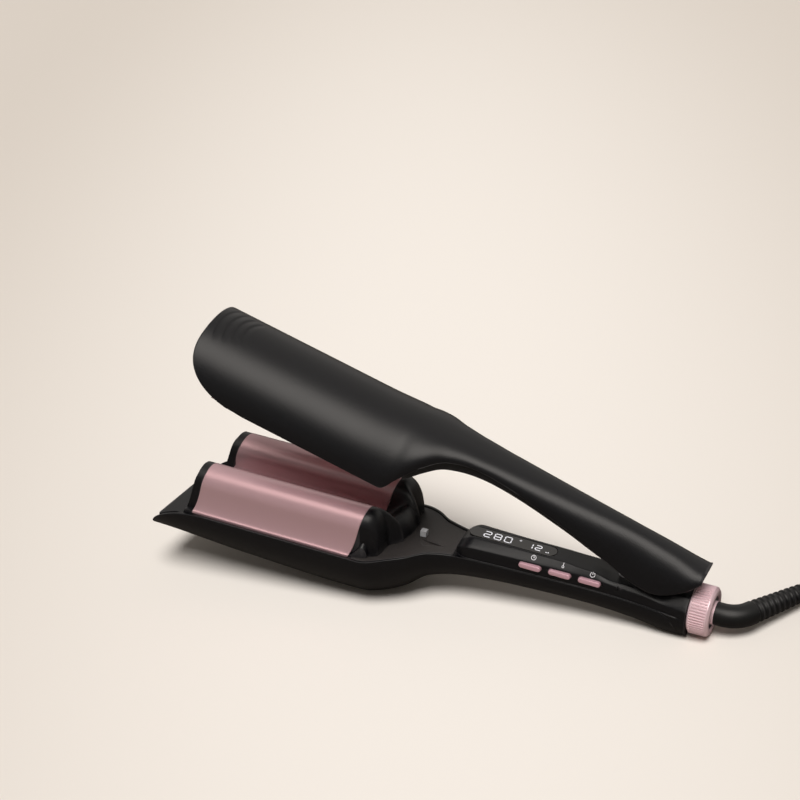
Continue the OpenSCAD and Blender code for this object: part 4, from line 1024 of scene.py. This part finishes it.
def rounded(points, passes=3):
    """Cuts the corners off an open outline, and keeps its two ends."""
    for _ in range(passes):
        cut = [points[0]]
        for a, b in zip(points, points[1:]):
            cut += [tuple(mix(p, q, t) for p, q in zip(a, b)) for t in (0.25, 0.75)]
        points = cut + [points[-1]]
    return points


def cover_half(x, inset):
    """One side of the cover's section, from the seam to the middle of the top."""
    s = 1 - clamp((x - NOSE_X) / NOSE_LENGTH)
    f = max(0.03, math.sqrt(1 - s * s))
    half = curve(LOWER_WIDTH, x) * mix(0.5, 1, f) - inset - LEDGE * (1 - seam_angle(x) / 1.4)
    flat = min(half - 0.6, curve(COVER_FLAT, x) * mix(0.5, 1, f) - inset / 2)
    top = SEAM + (curve(COVER_TOP, x + 1.5) - inset - SEAM) * f
    edge = SEAM + (curve(COVER_TOP, x) - inset - SEAM) * f
    wall = min(edge - 0.02, SEAM + (curve(COVER_WALL, x) - inset / 2 - SEAM) * f)
    return [(half, SEAM), (half - 0.1, wall - 0.6 * f), (half - 0.5, mix(wall, edge, 0.12)),
            (mix(half, flat, 0.88), mix(wall, edge, 0.93)), (flat, edge), (flat * 0.5, mix(edge, top, 0.2)), (0, edge)]


def cover_outline(x, inset):
    side = rounded(cover_half(x, inset))
    drop = seam_angle(x)
    skirt = [lower_point(x, a, inset)[1:] for a in steps(drop, 0, 14)[:-1]]
    whole = skirt + side
    return [(x, y, z) for y, z in whole + [(-y, z) for y, z in whole[-2::-1]]]


def bored(outline):
    """The same outline drawn in to the bore that the ring's socket passes through."""
    out = [math.hypot(y, z - RING_AXIS) for _, y, z in outline]
    return [(x, BORE * y / r, RING_AXIS + BORE * (z - RING_AXIS) / r) for (x, y, z), r in zip(outline, out)]


def closed_down(outline):
    return [(x, y * 0.97, SEAM + (z - SEAM) * 0.02) for x, y, z in outline]


# %% Loft of the cover
nose_x = [NOSE_X + NOSE_LENGTH * (1 - math.cos(math.radians(a))) for a in steps(0, 90, 22)]
END_WALL = ARM_LENGTH - 2.6
cover_x = (steps(nose_x[-1] + 1, FACET_END - 8, 24) + steps(FACET_END - 7.4, FACET_END + 12, 36)
           + steps(FACET_END + 13, HINGE_X, 20) + steps(HINGE_X + 1, SEAM_TURN - 0.5, 5)
           + steps(SEAM_TURN, END_WALL - 0.2, 18))
cover_pairs = [(cover_outline(x, 0), closed_down(cover_outline(x, 2))) for x in nose_x if x < NOSE_X + 3.2]
cover_pairs += [(cover_outline(x, 0), cover_outline(x, 2)) for x in nose_x if x >= NOSE_X + 3.2]
cover_pairs += [(cover_outline(x, 0), cover_outline(x, 2)) for x in cover_x]
cover_pairs += [(cover_outline(x, 0), bored(cover_outline(x, 0))) for x in (END_WALL, ARM_LENGTH - 1, ARM_LENGTH)]
cover = skin("control_housing", cover_pairs, lay, 40)
print("control cover:", len(cover.data.polygons), "faces")

# %% Recess, windows and knuckle
LENS_START, LENS_MARGIN, LENS_WIDTH = NOSE_X + 5, 9, 8.6
LENS_LENGTH = FACET_END - LENS_MARGIN - LENS_START
LENS_X = LENS_START + LENS_LENGTH / 2
BUTTON_LENGTH, BUTTON_HEIGHT, BUTTON_Z, BUTTON_PITCH = 12.4, 3.1, 6.8, 16.6
BUTTON_PLACES = [HINGE_X - 32 - i * BUTTON_PITCH for i in (2, 1, 0)]
BUTTON_GAP, BUTTON_PROUD = 0.25, 0.8
NOTCH_X, NOTCH_WIDTH, NOTCH_LOW, NOTCH_HIGH, NOTCH_IN = 275.4, 0.45, 6.4, 14, 8.7
RECESS_ROOM, RECESS_DEPTH = 0.8, 1.1


def side_prism(name, outline, near, far):
    """An outline in x and z, raised across from y = near to y = far."""
    return prism(name, outline, near, far, lambda p: lay((p[0], p[2], p[1])))


recess_outline = pill(LENS_LENGTH + RECESS_ROOM, LENS_WIDTH + RECESS_ROOM)
recess = prism("lens_recess", [(LENS_X + x, y) for x, y in recess_outline], FACET_HEIGHT - RECESS_DEPTH,
               FACET_HEIGHT + 4, lay)
window_outline = pill(BUTTON_LENGTH + 2 * BUTTON_GAP, BUTTON_HEIGHT + 2 * BUTTON_GAP)
windows = [side_prism("window", [(x + px, BUTTON_Z + pz) for px, pz in window_outline], -20, -5)
           for x in BUTTON_PLACES]
notch_outline = [(NOTCH_X, NOTCH_LOW), (NOTCH_X + NOTCH_WIDTH, NOTCH_LOW), (NOTCH_X + NOTCH_WIDTH, NOTCH_HIGH),
                 (NOTCH_X, NOTCH_HIGH)]
notches = [side_prism("notch", notch_outline, near, far) for near, far in ((-20, -NOTCH_IN), (NOTCH_IN, 20))]
carve(cover, [recess] + windows + notches)
KNUCKLE_R, KNUCKLE_HALF, PIN_R = 6.5, 8.6, 2


def disc(x, z, radius, count=64):
    return arc_points(x, z, radius, 0, 360, count)[:-1]


knuckle = side_prism("knuckle", disc(HINGE_X, HINGE_Z, KNUCKLE_R), -KNUCKLE_HALF, KNUCKLE_HALF)
web = side_prism("web", [(HINGE_X - 5.5, DECK - 1), (HINGE_X + 5.5, DECK - 1), (HINGE_X + 5.5, HINGE_Z),
                         (HINGE_X - 5.5, HINGE_Z)], -KNUCKLE_HALF + 1.6, KNUCKLE_HALF - 1.6)
carve(cover, [knuckle, web], "UNION")
carve(cover, [side_prism("pin_bore", disc(HINGE_X, HINGE_Z, PIN_R + 0.05), -KNUCKLE_HALF - 1, KNUCKLE_HALF + 1)])
finish_mesh(cover, 34)
soften(cover, 0.18, 2, 42)
for vertex in cover.data.vertices:
    vertex.co.z = max(vertex.co.z, TAIL_CLEAR * MM)
fit_out(cover, "lower_arm", "satin_black", "control_cover")

# %% [markdown]
# ## Display and buttons
# The lens is a thin dark pill let into the facet, and the figures are separate bars of
# light on it, drawn as a real seven-segment display is: hexagonal bars with small gaps,
# all leaning the same way. Only plain numbers are shown. The marks over the buttons are
# rings and bars printed on the shoulder.

# %% Lens
lens = prism("lens_pill", [(LENS_X + x, y) for x, y in pill(LENS_LENGTH, LENS_WIDTH, 32)], FACET_HEIGHT - 1,
             FACET_HEIGHT, lay)
fit_out(soften(lens, 0.2, 3), "lower_arm", "display_black", "display_lens")


# %% Flat marks
def stamp(name, shapes, origin, along, up, height=0.04):
    """Thin raised marks on a flat: each shape is a convex outline in its own plane."""
    out = along.cross(up)
    work = bmesh.new()
    for shape in shapes:
        low = [work.verts.new(lay(origin + along * u + up * v)) for u, v in shape]
        high = [work.verts.new(lay(origin + along * u + up * v + out * height)) for u, v in shape]
        work.faces.new(low[::-1])
        work.faces.new(high)
        for k in range(len(shape)):
            n = (k + 1) % len(shape)
            work.faces.new((low[k], low[n], high[n], high[k]))
    mesh = bpy.data.meshes.new(name)
    work.to_mesh(mesh)
    work.free()
    return finish_mesh(add_object(name, mesh))


BARS = {"0": "abcdef", "1": "bc", "2": "abged", "8": "abcdefg"}
DIGIT_W, DIGIT_H, BAR, LEAN = 3.7, 4.7, 0.62, -0.1


def bar(a, b):
    """One segment: a bar with pointed ends from a to b."""
    (ax, ay), (bx, by) = a, b
    length = math.hypot(bx - ax, by - ay)
    ux, uy = (bx - ax) / length, (by - ay) / length
    gap, point, w = 0.12, 0.28, BAR / 2
    spots = [(gap, 0), (gap + point, w), (length - gap - point, w), (length - gap, 0), (length - gap - point, -w),
             (gap + point, -w)]
    return [(ax + ux * s - uy * t, ay + uy * s + ux * t) for s, t in spots]


def digit(figure, x, y, size=1.0):
    w, h = DIGIT_W * size, DIGIT_H * size
    corners = {"a": ((0, h), (w, h)), "b": ((w, h), (w, h / 2)), "c": ((w, h / 2), (w, 0)), "d": ((0, 0), (w, 0)),
               "e": ((0, 0), (0, h / 2)), "f": ((0, h / 2), (0, h)), "g": ((0, h / 2), (w, h / 2))}
    return [[(x + px + LEAN * py, y + py) for px, py in bar(*corners[k])][::-1] for k in BARS[figure]]


def hoop(x, y, radius, width, start=0, end=360, count=28):
    """Part of a ring, as a row of small convex pieces."""
    turns = [math.radians(a) for a in steps(start, end, count)]
    inner = radius - width
    return [[(x + r * math.cos(a), y + r * math.sin(a))
             for r, a in ((inner, a0), (radius, a0), (radius, a1), (inner, a1))] for a0, a1 in zip(turns, turns[1:])]


def stroke(x, y, width, height):
    return [(x, y), (x + width, y), (x + width, y + height), (x, y + height)]


# %% Figures on the display
ALONG, ACROSS = Vector((1, 0, 0)), Vector((0, 1, 0))
NUMBERS = [("280", 196.8, 5.9, -2.6, 1.0), ("12", 221.2, 5.0, -2.2, 0.86)]
figures = []
for number, start, pitch, foot, size in NUMBERS:
    for k, figure in enumerate(number):
        figures += digit(figure, start + k * pitch, foot, size)
figures += hoop(216.6, 2.0, 0.62, 0.26, count=14)
figures += [stroke(232.2, -2.4, 1.0, 0.5), stroke(233.5, -2.4, 0.5, 0.9)]
numbers = stamp("display_figures", figures, Vector((0, 0, FACET_HEIGHT)), ALONG, ACROSS)
fit_out(numbers, "lower_arm", "digit_light", slot="display_black")

# %% Marks over the buttons
MARK_R = 1.45
MARK_LINE = 0.32
marks = {"timer_mark": hoop(0, 0, MARK_R, MARK_LINE) + [stroke(-0.15, -0.1, 0.3, 1), stroke(-0.15, -0.2, 0.75, 0.3)],
         "unit_mark": hoop(0, -0.75, 0.7, 0.3, count=20) + [stroke(-0.16, -0.1, MARK_LINE, 1.55)],
         "power_mark": hoop(0, 0, MARK_R, MARK_LINE, 120, 420) + [stroke(-0.16, 0.1, MARK_LINE, 1.5)]}
for (name, mark), x in zip(marks.items(), BUTTON_PLACES):
    wide = curve(LOWER_WIDTH, x) - LEDGE
    flat, top, wall = curve(COVER_FLAT, x), curve(COVER_TOP, x), curve(COVER_WALL, x)
    low = Vector((x + 1.0, -(wide - 0.5), mix(wall, top, 0.12)))
    high = Vector((x + 1.0, -mix(wide, flat, 0.88), mix(wall, top, 0.93)))
    slope = (high - low).normalized()
    middle = mix(low, high, 0.62) + ALONG.cross(slope) * 0.01
    fit_out(stamp(name, mark, middle, ALONG, slope, 0.05), "lower_arm", "printed_white", slot="pale_plastic")

# %% Buttons: domed pills, as growth of the outline and depth behind the face
BUTTON_LAYERS = [(0.8, 3.1), (0.8, 2.35), (0, 2.3), (0, 0.75), (-0.1, 0.35), (-0.32, 0.1), (-0.75, 0)]


def button(name, x):
    """A pill whose face is crowned, so that a finger finds it. It widens behind the wall."""
    face = -curve(LOWER_WIDTH, x) - BUTTON_PROUD
    return loft(name, [[lay((x + px, face + depth, BUTTON_Z + pz)) for px, pz in
                        pill(BUTTON_LENGTH + 2 * grow, BUTTON_HEIGHT + 2 * grow, 16)]
                       for grow, depth in BUTTON_LAYERS], 40)


for kind, x in zip(("timer", "unit", "power"), BUTTON_PLACES):
    fit_out(button(kind + "_pill", x), kind + "_button", "button_pink", "button_" + kind)

# %% [markdown]
# ## Ring and boot
# The ring's ridges repeat round a circle, so Geometry Nodes place them: a mesh circle
# gives one point a ridge, and a thin rod is instanced on each. The boot is a tube along its
# centre line. Its radius comes from a sum on the distance along that line, which cuts the
# ribs and tapers the whole boot at once.

# %% A geometry tree with named inputs
def geometry_tree(name, inputs):
    group = bpy.data.node_groups.new(name, "GeometryNodeTree")
    group.interface.new_socket("Geometry", in_out="INPUT", socket_type="NodeSocketGeometry")
    for label, (kind, value) in inputs.items():
        socket = group.interface.new_socket(label, in_out="INPUT", socket_type="NodeSocket" + kind)
        if value is not None:
            socket.default_value = value
    group.interface.new_socket("Geometry", in_out="OUTPUT", socket_type="NodeSocketGeometry")
    tree = Tree(group)
    source = group.nodes.new("NodeGroupInput")
    ports = {s.name: Wire(tree, s) for s in source.outputs if s.name}
    return tree, ports


def grow_with(name, tree, result, values, material):
    """Runs the tree on an empty mesh and returns the plain mesh object that it makes."""
    real = tree.add("GeometryNodeRealizeInstances", result)
    tree.add("NodeGroupOutput", tree.add("GeometryNodeSetMaterial", real, None, finishes[material]))
    obj = add_object(name, bpy.data.meshes.new(name))
    grower = obj.modifiers.new("grow", "NODES")
    grower.node_group = tree.tree
    for item in tree.tree.interface.items_tree:
        if item.in_out == "INPUT" and item.name in values:
            grower[item.identifier] = values[item.name]
    bpy.context.view_layer.update()
    return applied(obj)


# %% Ridges of the ring
RIDGES = 54
RING_CORE = RING_RADIUS - 0.62
ring_tree, port = geometry_tree("ring_ridges", {"Count": ("Int", 12), "Radius": ("Float", 0.01),
                                                "Ridge": ("Float", 0.001), "Length": ("Float", 0.01)})
circle = ring_tree.add("GeometryNodeMeshCircle", port["Count"], port["Radius"])
rod = ring_tree.add("GeometryNodeMeshCylinder", 10, 1, 1, port["Ridge"], port["Length"], pick="Mesh")
ridges = ring_tree.add("GeometryNodeInstanceOnPoints", circle, None, rod)
ring_ridges = grow_with("ring_ridge_rods", ring_tree, ridges,
                        {"Count": RIDGES, "Radius": (RING_RADIUS - 0.52) * MM, "Ridge": 0.5 * MM,
                         "Length": (RING_LENGTH - 3.0) * MM}, "ring_metal")
print("ring:", RIDGES, "ridges,", len(ring_ridges.data.polygons), "faces")


# %% Turned parts on the ring's axis
def turned(name, profile, count=108):
    """A solid of revolution about the ring's axis: profile is a loop of x and radius."""
    turns = [2 * math.pi * k / count for k in range(count)]
    return loft(name, [[lay((x, r * math.cos(a), RING_AXIS + r * math.sin(a))) for a in turns] for x, r in profile],
                30, wrap=True)


axis_turn = Matrix.Rotation(math.radians(90), 4, "Y")
ring_middle = Matrix.Translation(lay((RING_FRONT + RING_LENGTH / 2 - 0.4, 0, RING_AXIS)))
ring_ridges.data.transform(ring_middle @ REST.to_3x3().to_4x4() @ axis_turn)
SOCKET_R = 9
ring_core = turned("ring_core", [
    (RING_FRONT, SOCKET_R + 0.05), (RING_FRONT, RING_CORE - 0.6), (RING_FRONT + 0.5, RING_CORE - 0.1),
    (RING_FRONT + 1.0, RING_CORE), (RING_REAR - 2.0, RING_CORE), (RING_REAR - 1.9, RING_CORE + 0.45),
    (RING_REAR - 1.2, RING_CORE + 0.45), (RING_REAR - 0.2, RING_CORE - 0.7), (RING_REAR, RING_CORE - 1.1),
    (RING_REAR, SOCKET_R + 0.7), (RING_REAR - 0.5, SOCKET_R + 0.05)])
ring_ridges.data.materials.clear()
fit_out(ring_ridges, "ring", "ring_metal", "lock_ring")
fit_out(ring_core, "ring", "ring_metal", "lock_ring")

# %% Boot
RIB_SIDES = 40


def tube(name, points, radii, crease=40, sides=24):
    """A round tube along a row of points, with a radius at each, its ends closed."""
    rows = []
    side = None
    for i, point in enumerate(points):
        way = (points[min(i + 1, len(points) - 1)] - points[max(i - 1, 0)]).normalized()
        side = side - way * side.dot(way) if side else way.orthogonal()
        side.normalize()
        over = way.cross(side)
        rows.append([(point + radii[i] * (side * math.cos(a) + over * math.sin(a))) * MM
                     for a in [2 * math.pi * k / sides for k in range(sides)]])
    return loft(name, rows, crease)


def boot_radius(s):
    """Smooth to the bend's end, then ribs: flat tops with round-bottomed cuts between them."""
    past = s - SMOOTH_PART
    taper = mix(BOOT_RADIUS, 4.6, clamp(past / (RIB_COUNT * RIB_PITCH)))
    if past <= 0:
        return BOOT_RADIUS
    if past >= RIB_COUNT * RIB_PITCH:
        return mix(4.6, 3.8, clamp((past - RIB_COUNT * RIB_PITCH) / 3))
    phase = past / RIB_PITCH % 1
    return taper - RIB_DEPTH * clamp(1.6 - 4 * abs(phase - 0.35)) ** 0.6


boot_places = steps(0, BOOT_LENGTH, int(BOOT_LENGTH / 0.24))
boot = tube("boot_sleeve", [boot_at(s) for s in boot_places], [boot_radius(s) for s in boot_places], 50, RIB_SIDES)
fit_out(boot, "cord_swivel", "boot_rubber", "cord_boot", slot="cord_rubber")
print("boot:", round(BOOT_LENGTH, 1), "mm with", RIB_COUNT, "ribs")

# %% [markdown]
# ## Cord, tie and plug
# The cord is one open curve with a round bevel, along the very points of its CAD route.
# Smoothing it again would only take it off those points.

# %% Cord
cord_curve = bpy.data.curves.new("mains_cord", "CURVE")
cord_curve.dimensions = "3D"
cord_curve.bevel_depth = CORD_RADIUS * MM
cord_curve.bevel_resolution = 5
cord_curve.use_fill_caps = True
spline = cord_curve.splines.new("POLY")
places = [route[0]] + [b for a, b in zip(route, route[1:]) if (b - a).length > 0.05]
spline.points.add(len(places) - 1)
for point, place in zip(spline.points, places):
    point.co = (*(place * MM), 1)
spline.use_smooth = True
cord = add_object("mains_cord", cord_curve)
fit_out(cord, "cord_swivel", "cord_rubber", "cord_lead", "cord_coil", "cord_tail")

# %% Tie round the coil
tie_inside = COIL_INNER - COIL_PITCH / 8 - CORD_RADIUS - 1
tie_outside = COIL_OUTER + CORD_RADIUS - 0.2
tie_turn = Matrix.Rotation(coil_start_angle - math.pi / 2, 3, "Z")
tie_centre = coil_centre + COIL_WAY * 2 * CORD_RADIUS


def band_loop(grow, count=10):
    """A strap's outline, round at its corners, in reach and height."""
    low, high = TIE_WALL - grow, TIE_TOP + grow
    near, far = tie_inside - grow, tie_outside + grow
    corners = [(far - 4, low + 3, 3, -90), (far - 4, high - 4, 4, 0), (near + 4, high - 4, 4, 90),
               (near + 4, low + 3, 3, 180)]
    return [p for x, z, tall, start in corners for p in arc_points(x, z, 4, start, start + 90, count, tall)]


def strap(name, inner, outer, width, place):
    half = width / 2
    edges = ((outer, half), (outer, -half), (inner, -half), (inner, half))
    return loft(name, [[place((p[0], y, p[1])) for p in loop] for loop, y in edges], wrap=True)


def by_tie(point):
    return (tie_centre + tie_turn @ Vector(point)) * MM


tie = strap("tie_strap", band_loop(0), band_loop(TIE_WALL), TIE_WIDTH, by_tie)
fit_out(soften(tie, 0.25, 2), "cord_swivel", "dark_plastic", "coil_tie", slot="cord_rubber")

# %% Plug
RELIEF, PLUG_LENGTH, PLUG_WIDTH, PLUG_HEIGHT = 16, 28, 25, 18
plug_at = tail[-1]


def plug_place(point):
    """Along the plug from the cord, across it, and above its axis."""
    along, across_, up = point
    return (plug_at + COIL_WAY * along + Vector((-COIL_WAY.y, COIL_WAY.x, 0)) * across_ + Vector((0, 0, up))) * MM


def oval(along, width, height, count=64):
    """A section with flat top and bottom and round sides."""
    flat = max(0.0, (width - height) / 2)
    return [(along, math.copysign(flat, math.cos(a)) + height / 2 * math.cos(a), height / 2 * math.sin(a))
            for a in [2 * math.pi * (k + 0.5) / count for k in range(count)]]


relief = [(d, r * 2) for d, r in [(0, CORD_RADIUS + 1)] + [
    (d, mix(CORD_RADIUS + 1, 7.2, d / RELIEF) - (0.8 if i % 2 else 0)) for i, d in enumerate(steps(1, 13, 12))]]
grip_rows = [oval(d, w, w) for d, w in relief]
grip_rows += [oval(RELIEF + d, mix(15, PLUG_WIDTH, ease(t)), mix(14, PLUG_HEIGHT, ease(t)))
              for d, t in zip(steps(-1, 9, 12), steps(0.08, 1, 12))]
grip_rows += [oval(RELIEF + d, PLUG_WIDTH - cut, PLUG_HEIGHT - cut)
              for d, cut in ((12, 0), (12.6, 1), (14, 1), (14.6, 0), (16.5, 0), (17.1, 1), (18.5, 1), (19.1, 0),
                             (PLUG_LENGTH - 0.8, 0), (PLUG_LENGTH - 0.2, 0.5), (PLUG_LENGTH, 1.4))]
plug = loft("plug_grip", [[plug_place(p) for p in section] for section in grip_rows], 50)
fit_out(plug, "cord_swivel", "cord_rubber", "plug_body")

leaving = route[0] * MM

# %% [markdown]
# ## Upper liner, spring and inside parts
# The liner lines the upper grip, and its edge shows below the shell's when the jaws are
# open. The spring is a real helix from the deck up towards the post.

# %% Upper liner
LINER_START, LINER_END = UPPER_CAP_END + 0.4, ARM_LENGTH - 3
LINER_OUT, LINER_IN = WALL + 0.2, WALL + 1.8
POST_X, POST_FOOT, POST_R = HINGE_X - 15, 22.6, 4.6


def liner_arc(x, inset):
    """The grip's arch moved in, with its two feet set on the liner's edge line."""
    edge = curve(UPPER_EDGE, x) - curve(LINER_DROP, x)
    arc = upper_arc(x, inset)
    return [(arc[0][0], arc[0][1], edge)] + arc + [(arc[-1][0], arc[-1][1], edge)]


liner_x = steps(LINER_START, LINER_END, 90)
liner = skin("grip_liner", [(liner_arc(x, LINER_OUT), liner_arc(x, LINER_IN)) for x in liner_x], lift, 40)
fit_out(soften(liner, 0.25, 2, 60), "upper_arm", "dark_plastic", "upper_liner")
POST_TOP = curve(UPPER_TOP, POST_X) - WALL - 0.5 + (HINGE_X - POST_X) * math.sin(math.radians(OPENING))
post = tube("spring_post", [lay((POST_X, 0, z)) / MM for z in (POST_FOOT, POST_FOOT + 0.6, POST_TOP)],
            [POST_R - 0.6, POST_R, POST_R], 30, 40)
fit_out(post, "upper_arm", "dark_plastic", "upper_liner")

# %% Spring
SPRING_FOOT, SPRING_TOP, SPRING_R, SPRING_WIRE, SPRING_TURNS = DECK, 22.6, 3.45, 1.1, 6
SPRING_STEPS = 28
helix = []
for i in range(SPRING_TURNS * SPRING_STEPS + 1):
    a = 2 * math.pi * i / SPRING_STEPS
    level = mix(SPRING_FOOT + SPRING_WIRE / 2, SPRING_TOP - SPRING_WIRE / 2, i / (SPRING_TURNS * SPRING_STEPS))
    helix.append(lay((POST_X + SPRING_R * math.cos(a), SPRING_R * math.sin(a), level)) / MM)
spring = tube("spring_helix", helix, [SPRING_WIRE / 2] * len(helix), 60, 10)
fit_out(spring, "lower_arm", "steel", "arm_spring")
seat, top = lay((POST_X, 0, SPRING_FOOT)), lay((POST_X, 0, SPRING_TOP))
tuple((top - seat).normalized())
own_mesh(spring)

# %% Pin, with a chamfer at each end
PIN_HALF = curve(UPPER_WIDTH, HINGE_X) - WALL - FIT
pin_rows = [(-PIN_HALF, PIN_R - 0.3), (-PIN_HALF + 0.3, PIN_R), (PIN_HALF - 0.3, PIN_R), (PIN_HALF, PIN_R - 0.3)]
pin = tube("pin_rod", [lay((HINGE_X, y, HINGE_Z)) / MM for y, _ in pin_rows], [r for _, r in pin_rows], 30, 40)
fit_out(pin, "upper_arm", "steel", "hinge_pin")

# %% Finishes of the solids that stay as the CAD made them
STAYS = {"lower_carrier": "dark_plastic", "upper_carrier": "dark_plastic", "lower_heaters": "heater_ceramic",
         "upper_heater": "heater_ceramic", "display_module": "board", "control_board": "board",
         "handle_screws": "steel", "tail_socket": "satin_black", "swivel_bush": "ring_metal",
         "rear_cap_clip": "pale_plastic", "plug_blades": "steel"}
for node, finish in STAYS.items():
    solid = frame["nodes"][node]
    solid.data.materials.clear()
    solid.data.materials.append(finishes[finish])
print("solids kept:", len(STAYS))

# %% [markdown]
# ## Finish
# The picture is shown without a film curve, so the cream and the rose come out as mixed.

# %% Finish
bpy.context.scene.view_settings.view_transform = "Standard"
